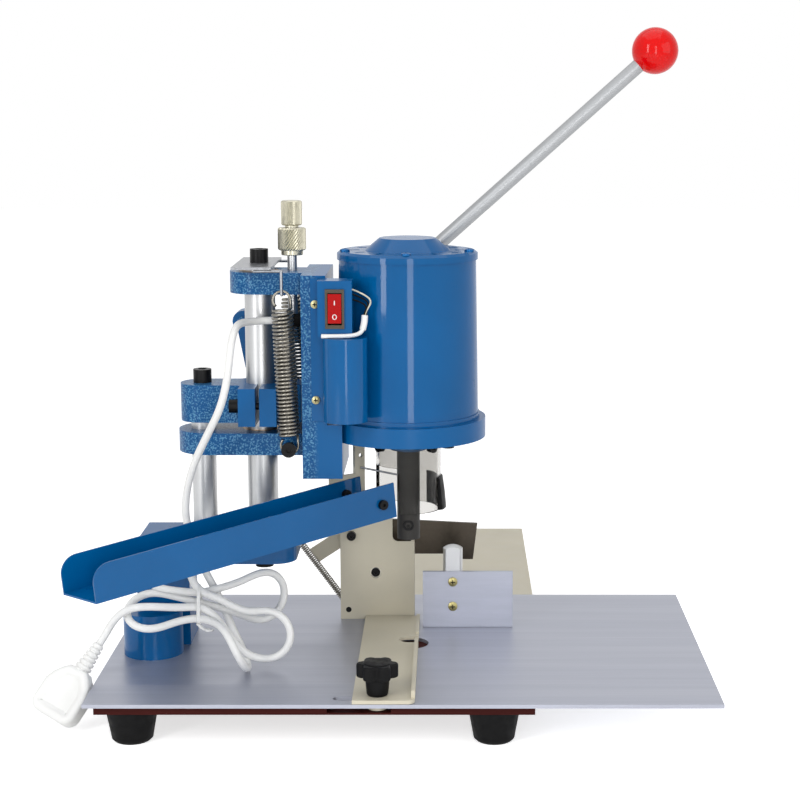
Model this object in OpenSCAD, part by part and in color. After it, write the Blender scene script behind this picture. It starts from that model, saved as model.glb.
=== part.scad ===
// Desk-top electric paper drill with a lever-fed head on two columns

/* [Table and base] */
// Distance from the drill axis to the left edge of the table
table_left = 246; // [235:1:280]
// Distance from the drill axis to the right edge of the table
table_right = 244; // [200:1:300]
// Distance from the drill axis to the front edge of the table
table_front = 154; // [150:1:180]
// Distance from the drill axis to the rear edge of the table
table_rear = 147; // [140:1:180]
// Thickness of the table plate
table_t = 3; // [2:0.5:5]
// Diameter of the hole under the drill
table_hole_d = 33; // [20:1:40]
// Thickness of the base board
board_t = 6.5; // [6:0.5:12]
// How far the board's edges stand back from the table's front edge
board_inset = 4; // [2:1:10]
// Distance from the drill axis to the right edge of the board
board_right = 100; // [90:1:120]
// Distance from the drill axis to the left edge of the board
board_left = 238; // [225:1:240]
// Depth of the rear plate behind the table
rear_plate_d = 253; // [150:1:300]
// Distance from the drill axis to the right edge of the rear plate
rear_plate_right = 111; // [104:1:130]
// Distance from the drill axis to the left edge of the rear plate
rear_plate_left = 48; // [30:1:80]
// Height of a rubber foot
foot_h = 26.5; // [15:0.5:40]
// Diameter of a foot at its top
foot_top_d = 41; // [34:1:46]
// Diameter of a foot on the floor
foot_low_d = 32; // [26:1:34]

/* [Columns and blocks] */
// Distance from the drill axis to the main column
main_x = 121; // [120:1:124]
// Diameter of the main column
main_d = 25; // [20:0.5:28]
// Distance from the drill axis to the guide column
guide_x = 169.5; // [168:0.5:175]
// Diameter of the guide column
guide_d = 20; // [16:0.5:22]
// Height of the main column's top above the table
column_top = 321; // [320.5:0.5:330]
// Height of the lower block's underside above the table
lower_z = 79; // [72:1:82]
// Thickness of the lower block
lower_t = 16; // [14:1:22]
// Depth of the column sockets in the lower block
socket_depth = 10; // [6:1:12]
// Height of the clamp block's underside above the table
clamp_z = 193; // [190:1:196]
// Thickness of the clamp block
clamp_t = 31; // [24:1:33]
// Width of the slit in front of the main column
clamp_slit = 3.4; // [2:0.2:5]
// Wall of the clamp ring round the main column
clamp_wall = 13; // [10:0.5:15]
// Diameter of a large cap screw's head
cap_head_d = 15; // [13:0.5:18]
// Height of a large cap screw's head
cap_head_h = 11; // [8:0.5:13]
// Diameter of a large cap screw's shank
cap_shank_d = 10; // [6:0.5:11]
// Diameter of the pedestal's round foot
pedestal_d = 49; // [40:1:52]
// Height of the pedestal's round foot
pedestal_h = 37; // [20:1:50]

/* [Head casting] */
// Full stroke of the head
stroke = 50; // [30:1:55]
// Distance from the drill axis to the left face of the head's wall
wall_left = 84; // [82:0.5:86]
// Thickness of the head's wall
wall_t = 20; // [16:0.5:22]
// Distance from the drill axis forward to the front face of the wall
wall_front = 45; // [42:1:46]
// Distance from the drill axis back to the rear face of the wall
wall_rear = 50; // [48:1:52]
// Height of the lower arm's underside above the table
arm_low_z = 168; // [166:0.5:170]
// Thickness of the lower arm
arm_low_t = 18; // [14:0.5:20]
// Height of the upper arm's underside above the table
arm_up_z = 299; // [296:0.5:300]
// Thickness of the upper arm
arm_up_t = 17.5; // [14:0.5:18]
// Outer diameter of the column bushes
bush_d = 32; // [30:0.5:36]
// Height of the motor flange's underside above the table
flange_z = 180; // [178:0.5:184]
// Thickness of the motor flange
flange_t = 16; // [12:0.5:18]
// Diameter of the motor flange
flange_d = 128; // [122:1:130]
// Depth of the root below the flange's underside
root_drop = 28; // [20:1:28]
// Distance from the drill axis to the right face of the root
root_right = 52; // [50:0.5:58]

/* [Motor and spindle] */
// Motor diameter at the flange
motor_low_d = 116; // [110:1:118]
// Motor diameter at the top rim
motor_top_d = 112; // [106:1:114]
// Height of the motor shell
motor_h = 130; // [110:1:150]
// Wall of the motor shell
motor_wall = 3; // [2:0.5:5]
// Height of the end cap's rim above the shell
motor_cap_h = 7; // [5:0.5:10]
// Height of the raised centre of the end cap
motor_boss_h = 10; // [6:0.5:14]
// Diameter of the motor shaft
shaft_d = 14; // [10:0.5:15]
// Outer diameter of the shaft bearings
bearing_d = 32; // [28:1:36]
// Width of a shaft bearing
bearing_w = 9; // [7:0.5:10]
// Diameter of the spindle sleeve and the drill chuck
spindle_d = 19; // [17:0.5:22]
// Height of the chuck's lower end above the table
chuck_z = 92; // [80:1:100]
// Length of the drill chuck
chuck_h = 24; // [18:1:26]
// Bore of the chuck for a hollow drill's shank
drill_bore_d = 8; // [6:0.5:10]

/* [Guard] */
// Outer diameter of the clear guard tube
guard_d = 54; // [50:0.5:56]
// Wall of the guard tube
guard_wall = 2.5; // [1.5:0.25:4]
// Height of the guard tube's lower rim above the table
guard_z = 118; // [112:1:124]

/* [Chip chute] */
// Turn of the chute towards the front, seen from above
chute_yaw = 36; // [34:0.5:38]
// Fall of the chute towards its mouth
chute_fall = 6; // [4:0.5:7]
// Outer width of the chute
chute_w = 40.4; // [38:0.2:42]
// Height of the chute's walls
chute_h = 29; // [22:0.5:30]
// Sheet thickness of the chute
chute_t = 1.5; // [1:0.25:2]
// Length from the drill axis to the chute's mouth
chute_reach = 294; // [200:1:296]
// How much further the far wall reaches
chute_skew = 8; // [0:0.5:12]
// Height of the chute's floor at the drill axis
chute_z = 120; // [116:0.5:121]
// Corner radius of the walls at the mouth
chute_round = 14; // [6:0.5:18]

/* [Lever and link] */
// Distance from the drill axis to the lever's pivot
pivot_x = 68; // [66:0.5:70]
// Height of the lever's pivot above the table
pivot_z = 249; // [245:0.5:252]
// Rise of the lever above the horizontal at rest
lever_rise = 41.7; // [38:0.1:45]
// Length from the pivot to the centre of the ball
lever_len = 368; // [300:1:400]
// Diameter of the lever rod
rod_d = 12; // [10:0.5:14]
// Diameter of the ball
ball_d = 39; // [30:0.5:45]
// Diameter of the lever's pivot pin
pivot_d = 12; // [10:0.5:14]
// Distance from the pivot to the crank pin, along X
crank_dx = 73; // [72:0.5:74]
// Height of the crank pin above the pivot
crank_dz = 19; // [18:0.5:20]
// Distance from the crank pin to the fixed link pin, along X
link_dx = 12; // [11:0.5:13]
// Height of the crank pin above the fixed link pin
link_dz = 64; // [63:0.5:65]
// Diameter of the link's pins
link_pin_d = 8; // [6:0.5:8]

/* [Depth stop] */
// Distance from the drill axis to the depth screw
depth_x = 94; // [93.5:0.5:95]
// Diameter of the depth screw
depth_d = 8; // [6:0.5:8]
// Diameter of the depth knob
depth_knob_d = 17; // [14:0.5:20]
// Height of the depth knob
depth_knob_h = 20; // [14:0.5:26]
// Diameter of the knurled lock nut
lock_nut_d = 23; // [18:0.5:24]
// Height of the knurled lock nut
lock_nut_h = 18.5; // [10:0.5:22]
// Room between the lock nut and the upper arm
lock_nut_gap = 12.5; // [10:0.5:20]

/* [Switch and capacitor] */
// Width of the switch box
switch_box_w = 27; // [24:0.5:30]
// Height of the switch box
switch_box_h = 44; // [38:0.5:46]
// Depth of the switch box
switch_box_t = 19; // [14:0.5:24]
// Width of the switch bezel
bezel_w = 15; // [13:0.5:18]
// Height of the switch bezel
bezel_h = 31; // [28:0.5:34]
// Outer diameter of the capacitor cover
cap_cover_d = 35; // [30:0.5:36]
// Height of the capacitor cover
cap_cover_h = 67; // [50:1:68]

/* [Gauges and post] */
// Distance from the drill axis back to the post's front face
post_front = 70; // [66:1:74]
// Height of the post
post_h = 91; // [80:1:100]
// Sheet thickness of the post and of its brace
post_t = 3; // [2:0.5:4]
// Depth of the post
post_d = 28; // [24:1:30]
// Distance from the drill axis to the left edge of the side gauge
gauge_left = 40; // [36:1:44]
// Distance from the drill axis to the right edge of the side gauge
gauge_right = 8; // [6:0.5:10]
// Sheet thickness of the side gauge
gauge_t = 3; // [2:0.5:4]
// Height of the fence on the side gauge
fence_h = 9; // [6:0.5:14]
// Diameter of the star knob's head
star_d = 37; // [28:1:42]
// Width of the back stop
stop_w = 78; // [60:1:90]
// Height of the back stop
stop_h = 50; // [40:1:56]
// Distance from the drill axis back to the back stop's face
stop_y = 45; // [42:1:48]
// Diameter of the back stop's post
stop_post_d = 17; // [14:0.5:20]
// Travel of the back stop
stop_travel = 33; // [10:1:34]

/* [Springs] */
// Outer diameter of a return spring
spring_d = 16; // [14:0.5:16]
// Wire of a return spring
spring_wire = 2; // [1.5:0.1:2.4]
// Curls of a return spring
spring_curls = 30; // [16:1:32]
// Outer diameter of the brace spring
brace_spring_d = 6.5; // [5:0.25:8]
// Curls of the brace spring
brace_spring_curls = 15; // [8:1:20]

/* [Cord] */
// Diameter of the mains cord
cord_d = 6; // [5:0.25:6.5]

/* [Hidden] */
$fn = 64;

// Paints as the object shows them
blue = [0.09, 0.40, 0.67];
cream = [0.72, 0.69, 0.62];
bright = [0.78, 0.79, 0.81];
steel = [0.55, 0.56, 0.58];
black = [0.07, 0.07, 0.07];
white = [0.93, 0.93, 0.91];
red = [0.90, 0.12, 0.10];
board_red = [0.30, 0.12, 0.11];

// Radial clearance of a shaft that runs in its bore
run_gap = 0.05;
// Clearance between neighbours that must not touch
seat_gap = 0.3;
// Extra length of a cutting solid
cut = 1;

// Where the whole machine stands: the drill axis is moved off the origin so that
// the middle of the footprint is the origin and the floor is at zero height
function chute_out(reach) = (reach - chute_round)*cos(chute_fall)
  + (chute_h - chute_round)*sin(chute_fall) + chute_round;
chute_front = chute_w/2*cos(chute_yaw) + sin(chute_yaw)*chute_out(chute_reach);
chute_left = chute_w/2*sin(chute_yaw) + cos(chute_yaw)*chute_out(chute_reach + chute_skew);
y_rear = table_rear + rear_plate_d;
floor_drop = table_t + board_t + foot_h;
machine_at = [(max(table_left, chute_left) - table_right)/2, (chute_front - y_rear)/2, floor_drop];

lower_top = lower_z + lower_t;
clamp_top = clamp_z + clamp_t;
arm_low_top = arm_low_z + arm_low_t;
arm_up_top = arm_up_z + arm_up_t;
flange_top = flange_z + flange_t;
motor_top = flange_top + motor_h;
wall_right = wall_left - wall_t;
arm_low_r = 28;
arm_up_r = 24;
root_z = flange_z - root_drop;

// Lower block and pedestal
block_left = 224;
block_right = 92;
block_front = 38;
block_rear = 41;
block_round = 18;
pedestal_x = 212;
pedestal_y = 23;
pedestal_post_w = 44;
pedestal_post_front = 4;

// Clamp block
clamp_arm_r = 18;
clamp_ear_w = 31;
clamp_ear_y = 36;
clamp_land_r = 14;
clamp_land_gap = 3;
pinch_d = 6;
pinch_head_d = 11;
pinch_head_h = 8;
pinch_y = 27;

// Depth stop above and below the upper arm
lock_nut_z = arm_up_top + lock_nut_gap;
lock_collar_h = 4;
lock_collar_d = 18;
depth_neck_d = 11;
depth_neck_h = 1.6;
depth_knob_z = lock_nut_z + lock_nut_h + lock_collar_h + depth_neck_h;
depth_low_z = clamp_top + stroke + seat_gap;

// Spring plate, hooks and screws
spring_plate_t = 2;
spring_plate_w = 32;
spring_plate_y = 45;
hook_d = 2.4;
hook_y = 43.4;
hook_z = 301;
spring_y = 40;
spring_r = (spring_d - spring_wire)/2;
spring_top_x = -99;
spring_screw_x = -95;
spring_screw_z = arm_low_z + 8;
spring_screw_d = 6;
spring_screw_head_d = 12;
spring_top_z = hook_z + hook_d/2 + seat_gap + spring_wire/2 - 2*spring_r;
spring_low_z = spring_screw_z - spring_screw_d/2 - seat_gap - spring_wire/2 + 2*spring_r;

// Lever, crank and link lie in layers behind the head
link_y = 50;
link_t = 7;
lever_y = link_y + link_t + 1;
lever_plate_t = 10;
rod_y = 72;
hub_d = 34;
hub_t = 26;
crank_w = 16;
socket_x = 9;
crank_eye_d = 18;
crank_x = -pivot_x - crank_dx;
crank_z = pivot_z + crank_dz;
link_x = crank_x + link_dx;
link_z = crank_z - link_dz;
link_pin_y = main_d/2 + 2;
link_slot = 7.6;
link_play = 2.4;
link_w = 12;
socket_d = 21;
socket_len = 46;
rod_seat = 22;

// Motor and spindle inner sizes
stator_d = min(motor_low_d, motor_top_d) - 2*motor_wall;
stator_bore = 68;
stator_h = 70;
stator_z = flange_top + 30;
air_gap = 0.6;
nose_d = 30;
nose_h = 12;
rotor_top_z = motor_top + motor_cap_h - 1;
shaft_low_z = flange_z - nose_h - 20;
bearing_low_z = flange_top - bearing_w;
bearing_up_z = motor_top - bearing_w;
boss_d = 46;
boss_low_d = 70;
vent_w = 4;
vent_n = 12;

// Guard window towards the chute
guard_window_w = 34;
guard_window_h = 38;
guard_screw_d = 4;
guard_screw_head_d = 8;
guard_screw_z = flange_z - 7;
guard_screw_at = [-48, -140, 70];
guard_strip_t = 1.6;
flange_bolt_r = 42;
flange_bolt_at = [-38, 62, 158];
flange_bolt_d = 5;
flange_bolt_head_d = 10;
flange_bolt_head_h = 6;

// Chute ends near the drill
chute_near_end = 25.6;
chute_floor_end = 28.5;
chute_far_end = 33;
chute_bracket_t = 2.5;
chute_bracket_left = 64;
chute_bracket_right = 30;
chute_tab_left = 40;
chute_tab_y = 8;
chute_band_z = chute_z - 2;
chute_band_h = 30;
chute_screw_d = 4;
chute_screw_head_d = 8;
chute_screw_head_h = 3;
chute_far_screw = [-48.5, 17.5];
chute_near_screw = [-38.5, 13.5];
bracket_hole = [-34, 163];
bracket_hole_d = 3.6;
finger_d = 1.6;
finger_reach = 1.2;

// Switch group on the control panel
panel_t = 2;
panel_left = 76;
panel_right = 47;
panel_z = flange_top + 4;
panel_top = arm_up_top - 2;
panel_screw_x = -72.5;
panel_head_d = 6.4;
panel_screw_z = [217, 294];
switch_left = 69;
switch_z = panel_top - switch_box_h;
bezel_t = 1.5;
bezel_x = -switch_left + switch_box_w/2;
bezel_z = switch_z + switch_box_h/2;
bezel_lip = 0.8;
rocker_gap = 0.4;
rocker_w = bezel_w - 4.5;
rocker_h = bezel_h - 6.5;
rocker_t = 7;
cap_cover_x = -48;
cap_cover_wall = 1.5;
cap_cover_y = -wall_front - panel_t - cap_cover_d/2 + 4.5;
cap_cover_z = switch_z - cap_cover_h - 1;
capacitor_d = cap_cover_d - 2*cap_cover_wall - 2;
gland_d = 12;
gland_len = 20;
gland_y = -22;
gland_z = 278;

// Post, brace, shield and gauges
post_left = 62;
post_right = 3;
post_notch_w = 19;
post_notch_z = post_h - 21;
brace_at = [-52, 76];
brace_to = [-86, 53.5];
brace_boss_h = 12;
brace_w = 14;
brace_pin_d = 5;
hook_pin_d = 2.4;
brace_top_pin = [-108, 86];
brace_low_pin = [-55, 8.5];
brace_pin_reach = 5;
post_bolt = [-31, 42];
post_bolt_d = 8;
brace_spring_wire = 1.1;
brace_top_y = post_front - 2;
brace_low_y = post_front + post_t + 8;
shield_t = 3;
shield_z = 52;
shield_h = 32;
shield_left = 20;
shield_right = 59;
shield_tab = [34, 55];
shield_tab_drop = 5;
shield_fall = 4;
gauge_gap = 1;
fence_w = 3;
fence_rear = 2;
knob_x = -21;
knob_inset = 14;
stud_d = 8;
knob_stem_d = 20;
knob_stem_h = 14;
knob_head_h = 12;
knob_lobes = 6;
clamp_nut_d = 15;
clamp_nut_h = 4;
gauge_travel = [-30, 2];
stop_left = 11;
stop_t = 3;
stop_post_x = 37;
stop_post_h = 72;
stop_screw_z = [19, 41];
stop_bolt_head_d = 14;
stop_bolt_head_h = 6;
pan_head_d = 8;
pan_head_h = 2.5;
pan_shank_d = 4;
pan_shank_h = 6.5;

// Cord from the gland to the hank, points chosen along its fall
lead_points = [
  [-101, -22, 278], [-106.5, -22, 278], [-117.9, -24.7, 278], [-126.5, -32, 278],
  [-131.1, -42.7, 278], [-133.9, -58.5, 272.2], [-135.4, -66.9, 257.3], [-138.5, -67.5, 236],
  [-146, -63.5, 213], [-157.5, -58, 191.5], [-170, -53.5, 167], [-177, -51, 144],
  [-178.6, -50.6, 122], [-173.8, -51.3, 103], [-166.5, -52.1, 84.2]
];
// Cord from the hank over the table's edge to the plug
plug_at = [-245, -86, 26];
plug_dir = [-0.504, -0.444, -0.741];
tail_points = [
  [-182.5, -76.7, 53.9], [-192, -78.4, 54.6], [-202, -79.7, 55.4], [-211.5, -80.5, 55.5],
  [-220.5, -81.6, 54.6], [-229, -82, 49.6], [-235.6, -81.6, 41.6],
  plug_at - 8*plug_dir, plug_at - seat_gap*plug_dir
];
// Tied hank: the cord turns through bights right and left of the tie, of one radius
bight_r = 20.4;
bight_step = 25;
// Each bight has its centre, the way to its start, the way it bulges, and its first and last angle
bights = [
  [[-136.2, -76.6, 22.2], [-0.1, 1, 0], [0.42, 0, -0.91], -18, 192],
  [[-204.5, -71, 49.5], [0, -0.87, -0.5], [-1, 0, 0], -25, 205],
  [[-118, -42.5, 53.5], [0, 0, -1], [0.81, 0.59, 0], -10, 195],
  [[-195, -63.5, 85], [0, 0.08, -1], [-1, 0.1, 0], 0, 270],
  [[-153, -71, 82], [-1, 0.06, 0], [0, -0.05, -1], 15, 90],
  [[-114, -64, 27.3], [0, 0.06, 1], [1, -0.03, 0], 5, 185]
];
// Strands that pass through the tie from bight to bight
strands = [
  [[-158.5, -53, 67.5], [-150.5, -53.9, 51]],
  [[-142.5, -93, 38], [-149, -86, 42.6], [-158, -80, 44.3], [-168, -76.5, 45], [-183, -79, 43]],
  [[-184, -57.5, 56.5], [-166.5, -63.5, 54], [-152, -63.2, 50], [-141.5, -60, 46],
    [-131.5, -52.5, 39.5]],
  [[-135, -54.2, 69], [-146, -60, 66.5], [-157, -63, 64.3], [-166.5, -63.8, 62.2], [-180, -62.6, 63]],
  [],
  [[-140, -70.5, 53.2], [-128, -66.8, 47.4]],
  [[-130, -68.6, 13], [-141, -74, 28], [-150, -75.5, 42], [-158.5, -74.3, 50.5], [-167, -73.6, 54]]
];
tube_sides = 6;
plug_turn = -30;
relief_len = 24;
relief_d = 14;
plug_len = 44;
plug_t = 16.5;
plug_w = 42;
plug_neck = 16;
plug_round = 9;
blade_t = 4;
blade_w = 6.4;
blade_len = 17.5;
blade_y = 11.1;
blade_z = [14, 36.5];

// Small vector helpers
function unit(v) = v/norm(v);
function side_of(d) = abs(d[2]) < 0.9 ? unit(cross(d, [0, 0, 1])) : unit(cross(d, [1, 0, 0]));
function along(p, i) = unit(p[min(i + 1, len(p) - 1)] - p[max(i - 1, 0)]);
function carry(n, d) = unit(n - d*(n*d));
// Normals carried along a path without twist
function normals(p) = [
  for (i = 0, n = side_of(along(p, 0)); i < len(p);
    i = i + 1, n = i < len(p) ? carry(n, along(p, i)) : n) n
];
function ring(c, n, d, r, sides) = [
  for (k = [0:sides - 1]) c + r*cos(k*360/sides)*n + r*sin(k*360/sides)*cross(d, n)
];
// Least distance between parts of a path that are not neighbours, less the tube's diameter
function self_gap(p, d, skip) = min([
  for (i = [0:len(p) - 1]) for (j = [i + skip:1:len(p) - 1]) norm(p[i] - p[j]) - d
]);

// Points of the hank: it starts and ends a seat's gap from the lead and the tail, in line with them
function bight(q, first, way) = let (n = round((q[4] - q[3])/bight_step)) [
  for (k = [0:n]) let (t = q[3] + (q[4] - q[3])*k/n) q[0] + bight_r*(cos(t)*first + sin(t)*way)
];
lead_end = lead_points[len(lead_points) - 1];
lead_way = along(lead_points, len(lead_points) - 1);
tail_way = along(tail_points, 0);
hank_points = [
  lead_end + seat_gap*lead_way, lead_end + 8*lead_way,
  for (i = [0:len(strands) - 1])
    each concat(strands[i],
      i < len(bights) ? bight(bights[i], unit(bights[i][1]), carry(bights[i][2], unit(bights[i][1]))) : []),
  tail_points[0] - 6*tail_way, tail_points[0] - seat_gap*tail_way
];

// Tube swept along a list of points
module tube(p, d, sides) {
  n = normals(p);
  last = len(p) - 1;
  points = [for (i = [0:last]) each ring(p[i], n[i], along(p, i), d/2, sides)];
  skin = [
    for (i = [0:last - 1]) for (k = [0:sides - 1])
      let (a = i*sides + k, b = i*sides + (k + 1) % sides)
      each [[a, a + sides, b], [b, a + sides, b + sides]]
  ];
  start = [for (k = [1:sides - 2]) [0, k, k + 1]];
  end = [for (k = [1:sides - 2]) [last*sides, last*sides + k + 1, last*sides + k]];
  polyhedron(points = points, faces = concat(skin, start, end), convexity = 10);
}

// Extension spring along +Z from 0 to h, with a round hook at each end
hook_stops = [225, 180, 135, 90, 45, 0];
function spring_path(r, h, curls) = concat(
  [for (a = hook_stops) [r*cos(a), 0, -r - r*sin(a)]],
  [for (i = [0:8*curls]) [r*cos(i*45), r*sin(i*45), h*i/(8*curls)]],
  [for (a = [0:45:225]) [r*cos(a), 0, h + r + r*sin(a)]]
);

// Moves children so that +Z runs from one point to another
module aim(from, to) {
  v = to - from;
  translate(from)
    rotate([0, acos(v[2]/norm(v)), atan2(v[1], v[0])])
      children();
}

module rod(from, to, d) {
  aim(from, to) cylinder(d = d, h = norm(to - from));
}

module place() {
  translate(machine_at) children();
}

// Box between two corners
module span(a, b) {
  translate(a) cube(b - a);
}

// Cylinder along +Y
module shaft_y(at, d, h) {
  translate(at) rotate([-90, 0, 0]) cylinder(d = d, h = h);
}

// Cylinder along +X
module shaft_x(at, d, h) {
  translate(at) rotate([0, 90, 0]) cylinder(d = d, h = h);
}

// Socket cap screw, head up, seated at zero
module cap_screw(head_d, head_h, shank_d, shank_h, key) {
  difference() {
    union() {
      cylinder(d = head_d, h = head_h);
      translate([0, 0, -shank_h]) cylinder(d = shank_d, h = shank_h + cut);
    }
    translate([0, 0, head_h/2]) cylinder(d = key, h = head_h, $fn = 6);
  }
}

// Pan head screw with a cross recess, head up, seated at zero
module pan_screw(head_d) {
  difference() {
    union() {
      intersection() {
        cylinder(d = head_d, h = pan_head_h);
        translate([0, 0, pan_head_h - head_d]) sphere(r = head_d);
      }
      translate([0, 0, -pan_shank_h]) cylinder(d = pan_shank_d, h = pan_shank_h + cut);
    }
    for (a = [0, 90])
      rotate(a) translate([-head_d/4, -0.5, pan_head_h - 1]) cube([head_d/2, 1, 2]);
  }
}

// Table, board and feet
feet_at = [
  [-board_left + 26, -table_front + 24], [board_right - 31, -table_front + 24],
  [-board_left + 26, table_rear - 30], [board_right - 31, table_rear - 30],
  [board_right - 31, y_rear - 28], [-rear_plate_left + 28, y_rear - 28]
];
knob_at = [knob_x, -table_front + knob_inset];
stop_post_y = stop_y + stop_t + stop_post_d/2 - 2.5;

module slot(from, to, d) {
  translate([from[0], from[1]]) circle(d = d);
  translate([to[0], to[1]]) circle(d = d);
  w = to - from;
  translate([from[0], from[1]])
    rotate(atan2(w[1], w[0]))
      translate([0, -d/2]) square([norm(w), d]);
}

module stop_slot() {
  slot([stop_post_x, stop_post_y], [stop_post_x, stop_post_y + stop_travel], stud_d + 2*seat_gap);
}

// Travel slots of the side gauge's stud and of the back stop's bolt
module travel_slots() {
  slot(knob_at + [gauge_travel[0], 0], knob_at + [gauge_travel[1], 0], stud_d + 2*seat_gap);
  stop_slot();
}

module table_plate() {
  color(bright)
    place()
      translate([0, 0, -table_t])
        linear_extrude(table_t)
          difference() {
            translate([-table_left, -table_front])
              square([table_left + table_right, table_front + table_rear]);
            circle(d = table_hole_d);
            travel_slots();
          }
}

module base_board() {
  board_front = table_front - board_inset;
  pocket = clamp_nut_d/2 + 1;
  color(board_red)
    place()
      translate([0, 0, -table_t - board_t])
        difference() {
          linear_extrude(board_t)
            difference() {
              union() {
                translate([-board_left, -board_front])
                  square([board_left + board_right, board_front + table_rear - 6]);
                translate([-rear_plate_left + 4, 0])
                  square([rear_plate_left - 4 + board_right, y_rear - 6]);
              }
              stop_slot();
            }
          translate([0, 0, board_t - clamp_nut_h - 1])
            span([knob_x + gauge_travel[0] - pocket, -board_front - cut, 0],
              [knob_x + gauge_travel[1] + pocket, knob_at[1] + pocket, clamp_nut_h + 2]);
        }
}

module rear_plate() {
  color(cream)
    place()
      span([-rear_plate_left, table_rear, -table_t], [rear_plate_right, y_rear, 0]);
}

module rubber_feet() {
  edge = 2;
  color(black)
    place()
      for (p = feet_at)
        translate([p[0], p[1], -floor_drop])
          rotate_extrude()
            polygon([
              [0, 0], [foot_low_d/2 - edge, 0], [foot_low_d/2, edge],
              [foot_top_d/2, foot_h], [0, foot_h]
            ]);
}

module pedestal() {
  color(blue)
    place() {
      translate([-pedestal_x, -pedestal_y, 0]) cylinder(d = pedestal_d, h = pedestal_h);
      span([-pedestal_x - pedestal_post_w/2 + 6, -pedestal_post_front, 0],
        [-pedestal_x + pedestal_post_w/2 + 6, block_rear, lower_z]);
    }
}

module lower_block() {
  color(blue)
    place()
      difference() {
        translate([0, 0, lower_z])
          linear_extrude(lower_t) {
            translate([-block_left, -block_front])
              square([block_left - block_right - block_round, block_front + block_rear]);
            translate([-block_left, -block_front + block_round])
              square([block_left - block_right, block_front + block_rear - 2*block_round]);
            for (y = [-block_front + block_round, block_rear - block_round])
              translate([-block_right - block_round, y]) circle(r = block_round);
          }
        for (c = [[main_x, main_d], [guide_x, guide_d]])
          translate([-c[0], 0, 0]) {
            translate([0, 0, lower_top - socket_depth]) cylinder(d = c[1], h = socket_depth + cut);
            translate([0, 0, lower_z - cut])
              cylinder(d = cap_shank_d + 2*run_gap, h = lower_t);
          }
        shaft_y([brace_top_pin[0], block_rear - 10, brace_top_pin[1]], brace_pin_d, 10 + cut);
      }
}

// Column with a tapped hole in each end
module column(x, d, z0, z1, tap_low, tap_up) {
  place()
    translate([-x, 0, z0])
      difference() {
        cylinder(d = d, h = z1 - z0);
        translate([0, 0, -cut]) cylinder(d = cap_shank_d + 2*run_gap, h = tap_low + cut);
        translate([0, 0, z1 - z0 - tap_up]) cylinder(d = cap_shank_d + 2*run_gap, h = tap_up + cut);
      }
}
column_low_z = lower_top - socket_depth;
guide_top_z = clamp_top - 14;
tap_h = 24;

module main_column() {
  color(bright) column(main_x, main_d, column_low_z, column_top, tap_h, tap_h);
}

module guide_column() {
  color(bright) column(guide_x, guide_d, column_low_z, guide_top_z, tap_h, tap_h);
}

// Cap screws on the column tops and under the lower block
module cap_screws() {
  key = 8;
  color(black)
    place() {
      translate([-main_x, 0, column_top + spring_plate_t])
        cap_screw(cap_head_d, cap_head_h, cap_shank_d, tap_h - 4, key);
      translate([-guide_x, 0, clamp_top])
        cap_screw(cap_head_d, cap_head_h, cap_shank_d, tap_h, key);
      for (x = [main_x, guide_x])
        translate([-x, 0, lower_z])
          mirror([0, 0, 1]) cap_screw(cap_head_d, cap_head_h, cap_shank_d, tap_h - 4, key);
    }
}

module clamp_block() {
  ring_r = main_d/2 + clamp_wall;
  land_right = wall_left + clamp_land_gap;
  color(blue)
    place()
      difference() {
        translate([0, 0, clamp_z])
          linear_extrude(clamp_t) {
            translate([-guide_x, 0]) circle(r = clamp_arm_r);
            translate([-guide_x, -clamp_arm_r]) square([guide_x - main_x, 2*clamp_arm_r]);
            translate([-main_x, 0]) circle(r = ring_r);
            translate([-main_x - clamp_ear_w/2, -clamp_ear_y]) square([clamp_ear_w, clamp_ear_y]);
            translate([-main_x, -clamp_land_r])
              square([main_x - land_right, 2*clamp_land_r]);
          }
        translate([-main_x, 0, clamp_z - cut]) cylinder(d = main_d, h = clamp_t + 2*cut);
        translate([-guide_x, 0, clamp_z - cut]) cylinder(d = guide_d, h = guide_top_z - clamp_z + cut);
        translate([-guide_x, 0, clamp_z]) cylinder(d = cap_shank_d + 2*run_gap, h = clamp_t + cut);
        span([-main_x - clamp_slit/2, -clamp_ear_y - cut, clamp_z - cut],
          [-main_x + clamp_slit/2, 0, clamp_top + cut]);
        shaft_x([-main_x - clamp_ear_w, -pinch_y, clamp_z + clamp_t/2], pinch_d + 2*run_gap,
          2*clamp_ear_w);
        shaft_y([link_x, link_pin_y, link_z], link_pin_d, 40);
      }
}

// Plate under the top cap screw with two bent wire hooks for the return springs
module spring_plate() {
  wire_z = column_top - hook_d/2;
  color(steel)
    place() {
      difference() {
        span([-main_x - spring_plate_w/2 - 2, -spring_plate_y, column_top],
          [-main_x + spring_plate_w/2 - 2, spring_plate_y, column_top + spring_plate_t]);
        translate([-main_x, 0, column_top - cut])
          cylinder(d = cap_shank_d + 2*run_gap, h = spring_plate_t + 2*cut);
      }
      for (s = [-1, 1]) {
        rod([-main_x, s*hook_y, wire_z], [spring_top_x, s*hook_y, wire_z], hook_d);
        translate([spring_top_x, s*hook_y, wire_z]) sphere(d = hook_d);
        rod([spring_top_x, s*hook_y, wire_z], [spring_top_x, s*hook_y, hook_z], hook_d);
        translate([spring_top_x, s*hook_y, hook_z]) sphere(d = hook_d);
        rod([spring_top_x, s*hook_y, hook_z], [spring_top_x, s*(spring_y - 4), hook_z], hook_d);
      }
    }
}

module link_pin() {
  color(steel)
    place() {
      shaft_y([link_x, link_pin_y, link_z], link_pin_d, link_y + link_t + 4 - link_pin_y);
      shaft_y([link_x, link_y + link_t + 0.5, link_z], link_pin_d + 6, 3.5);
    }
}

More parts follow.
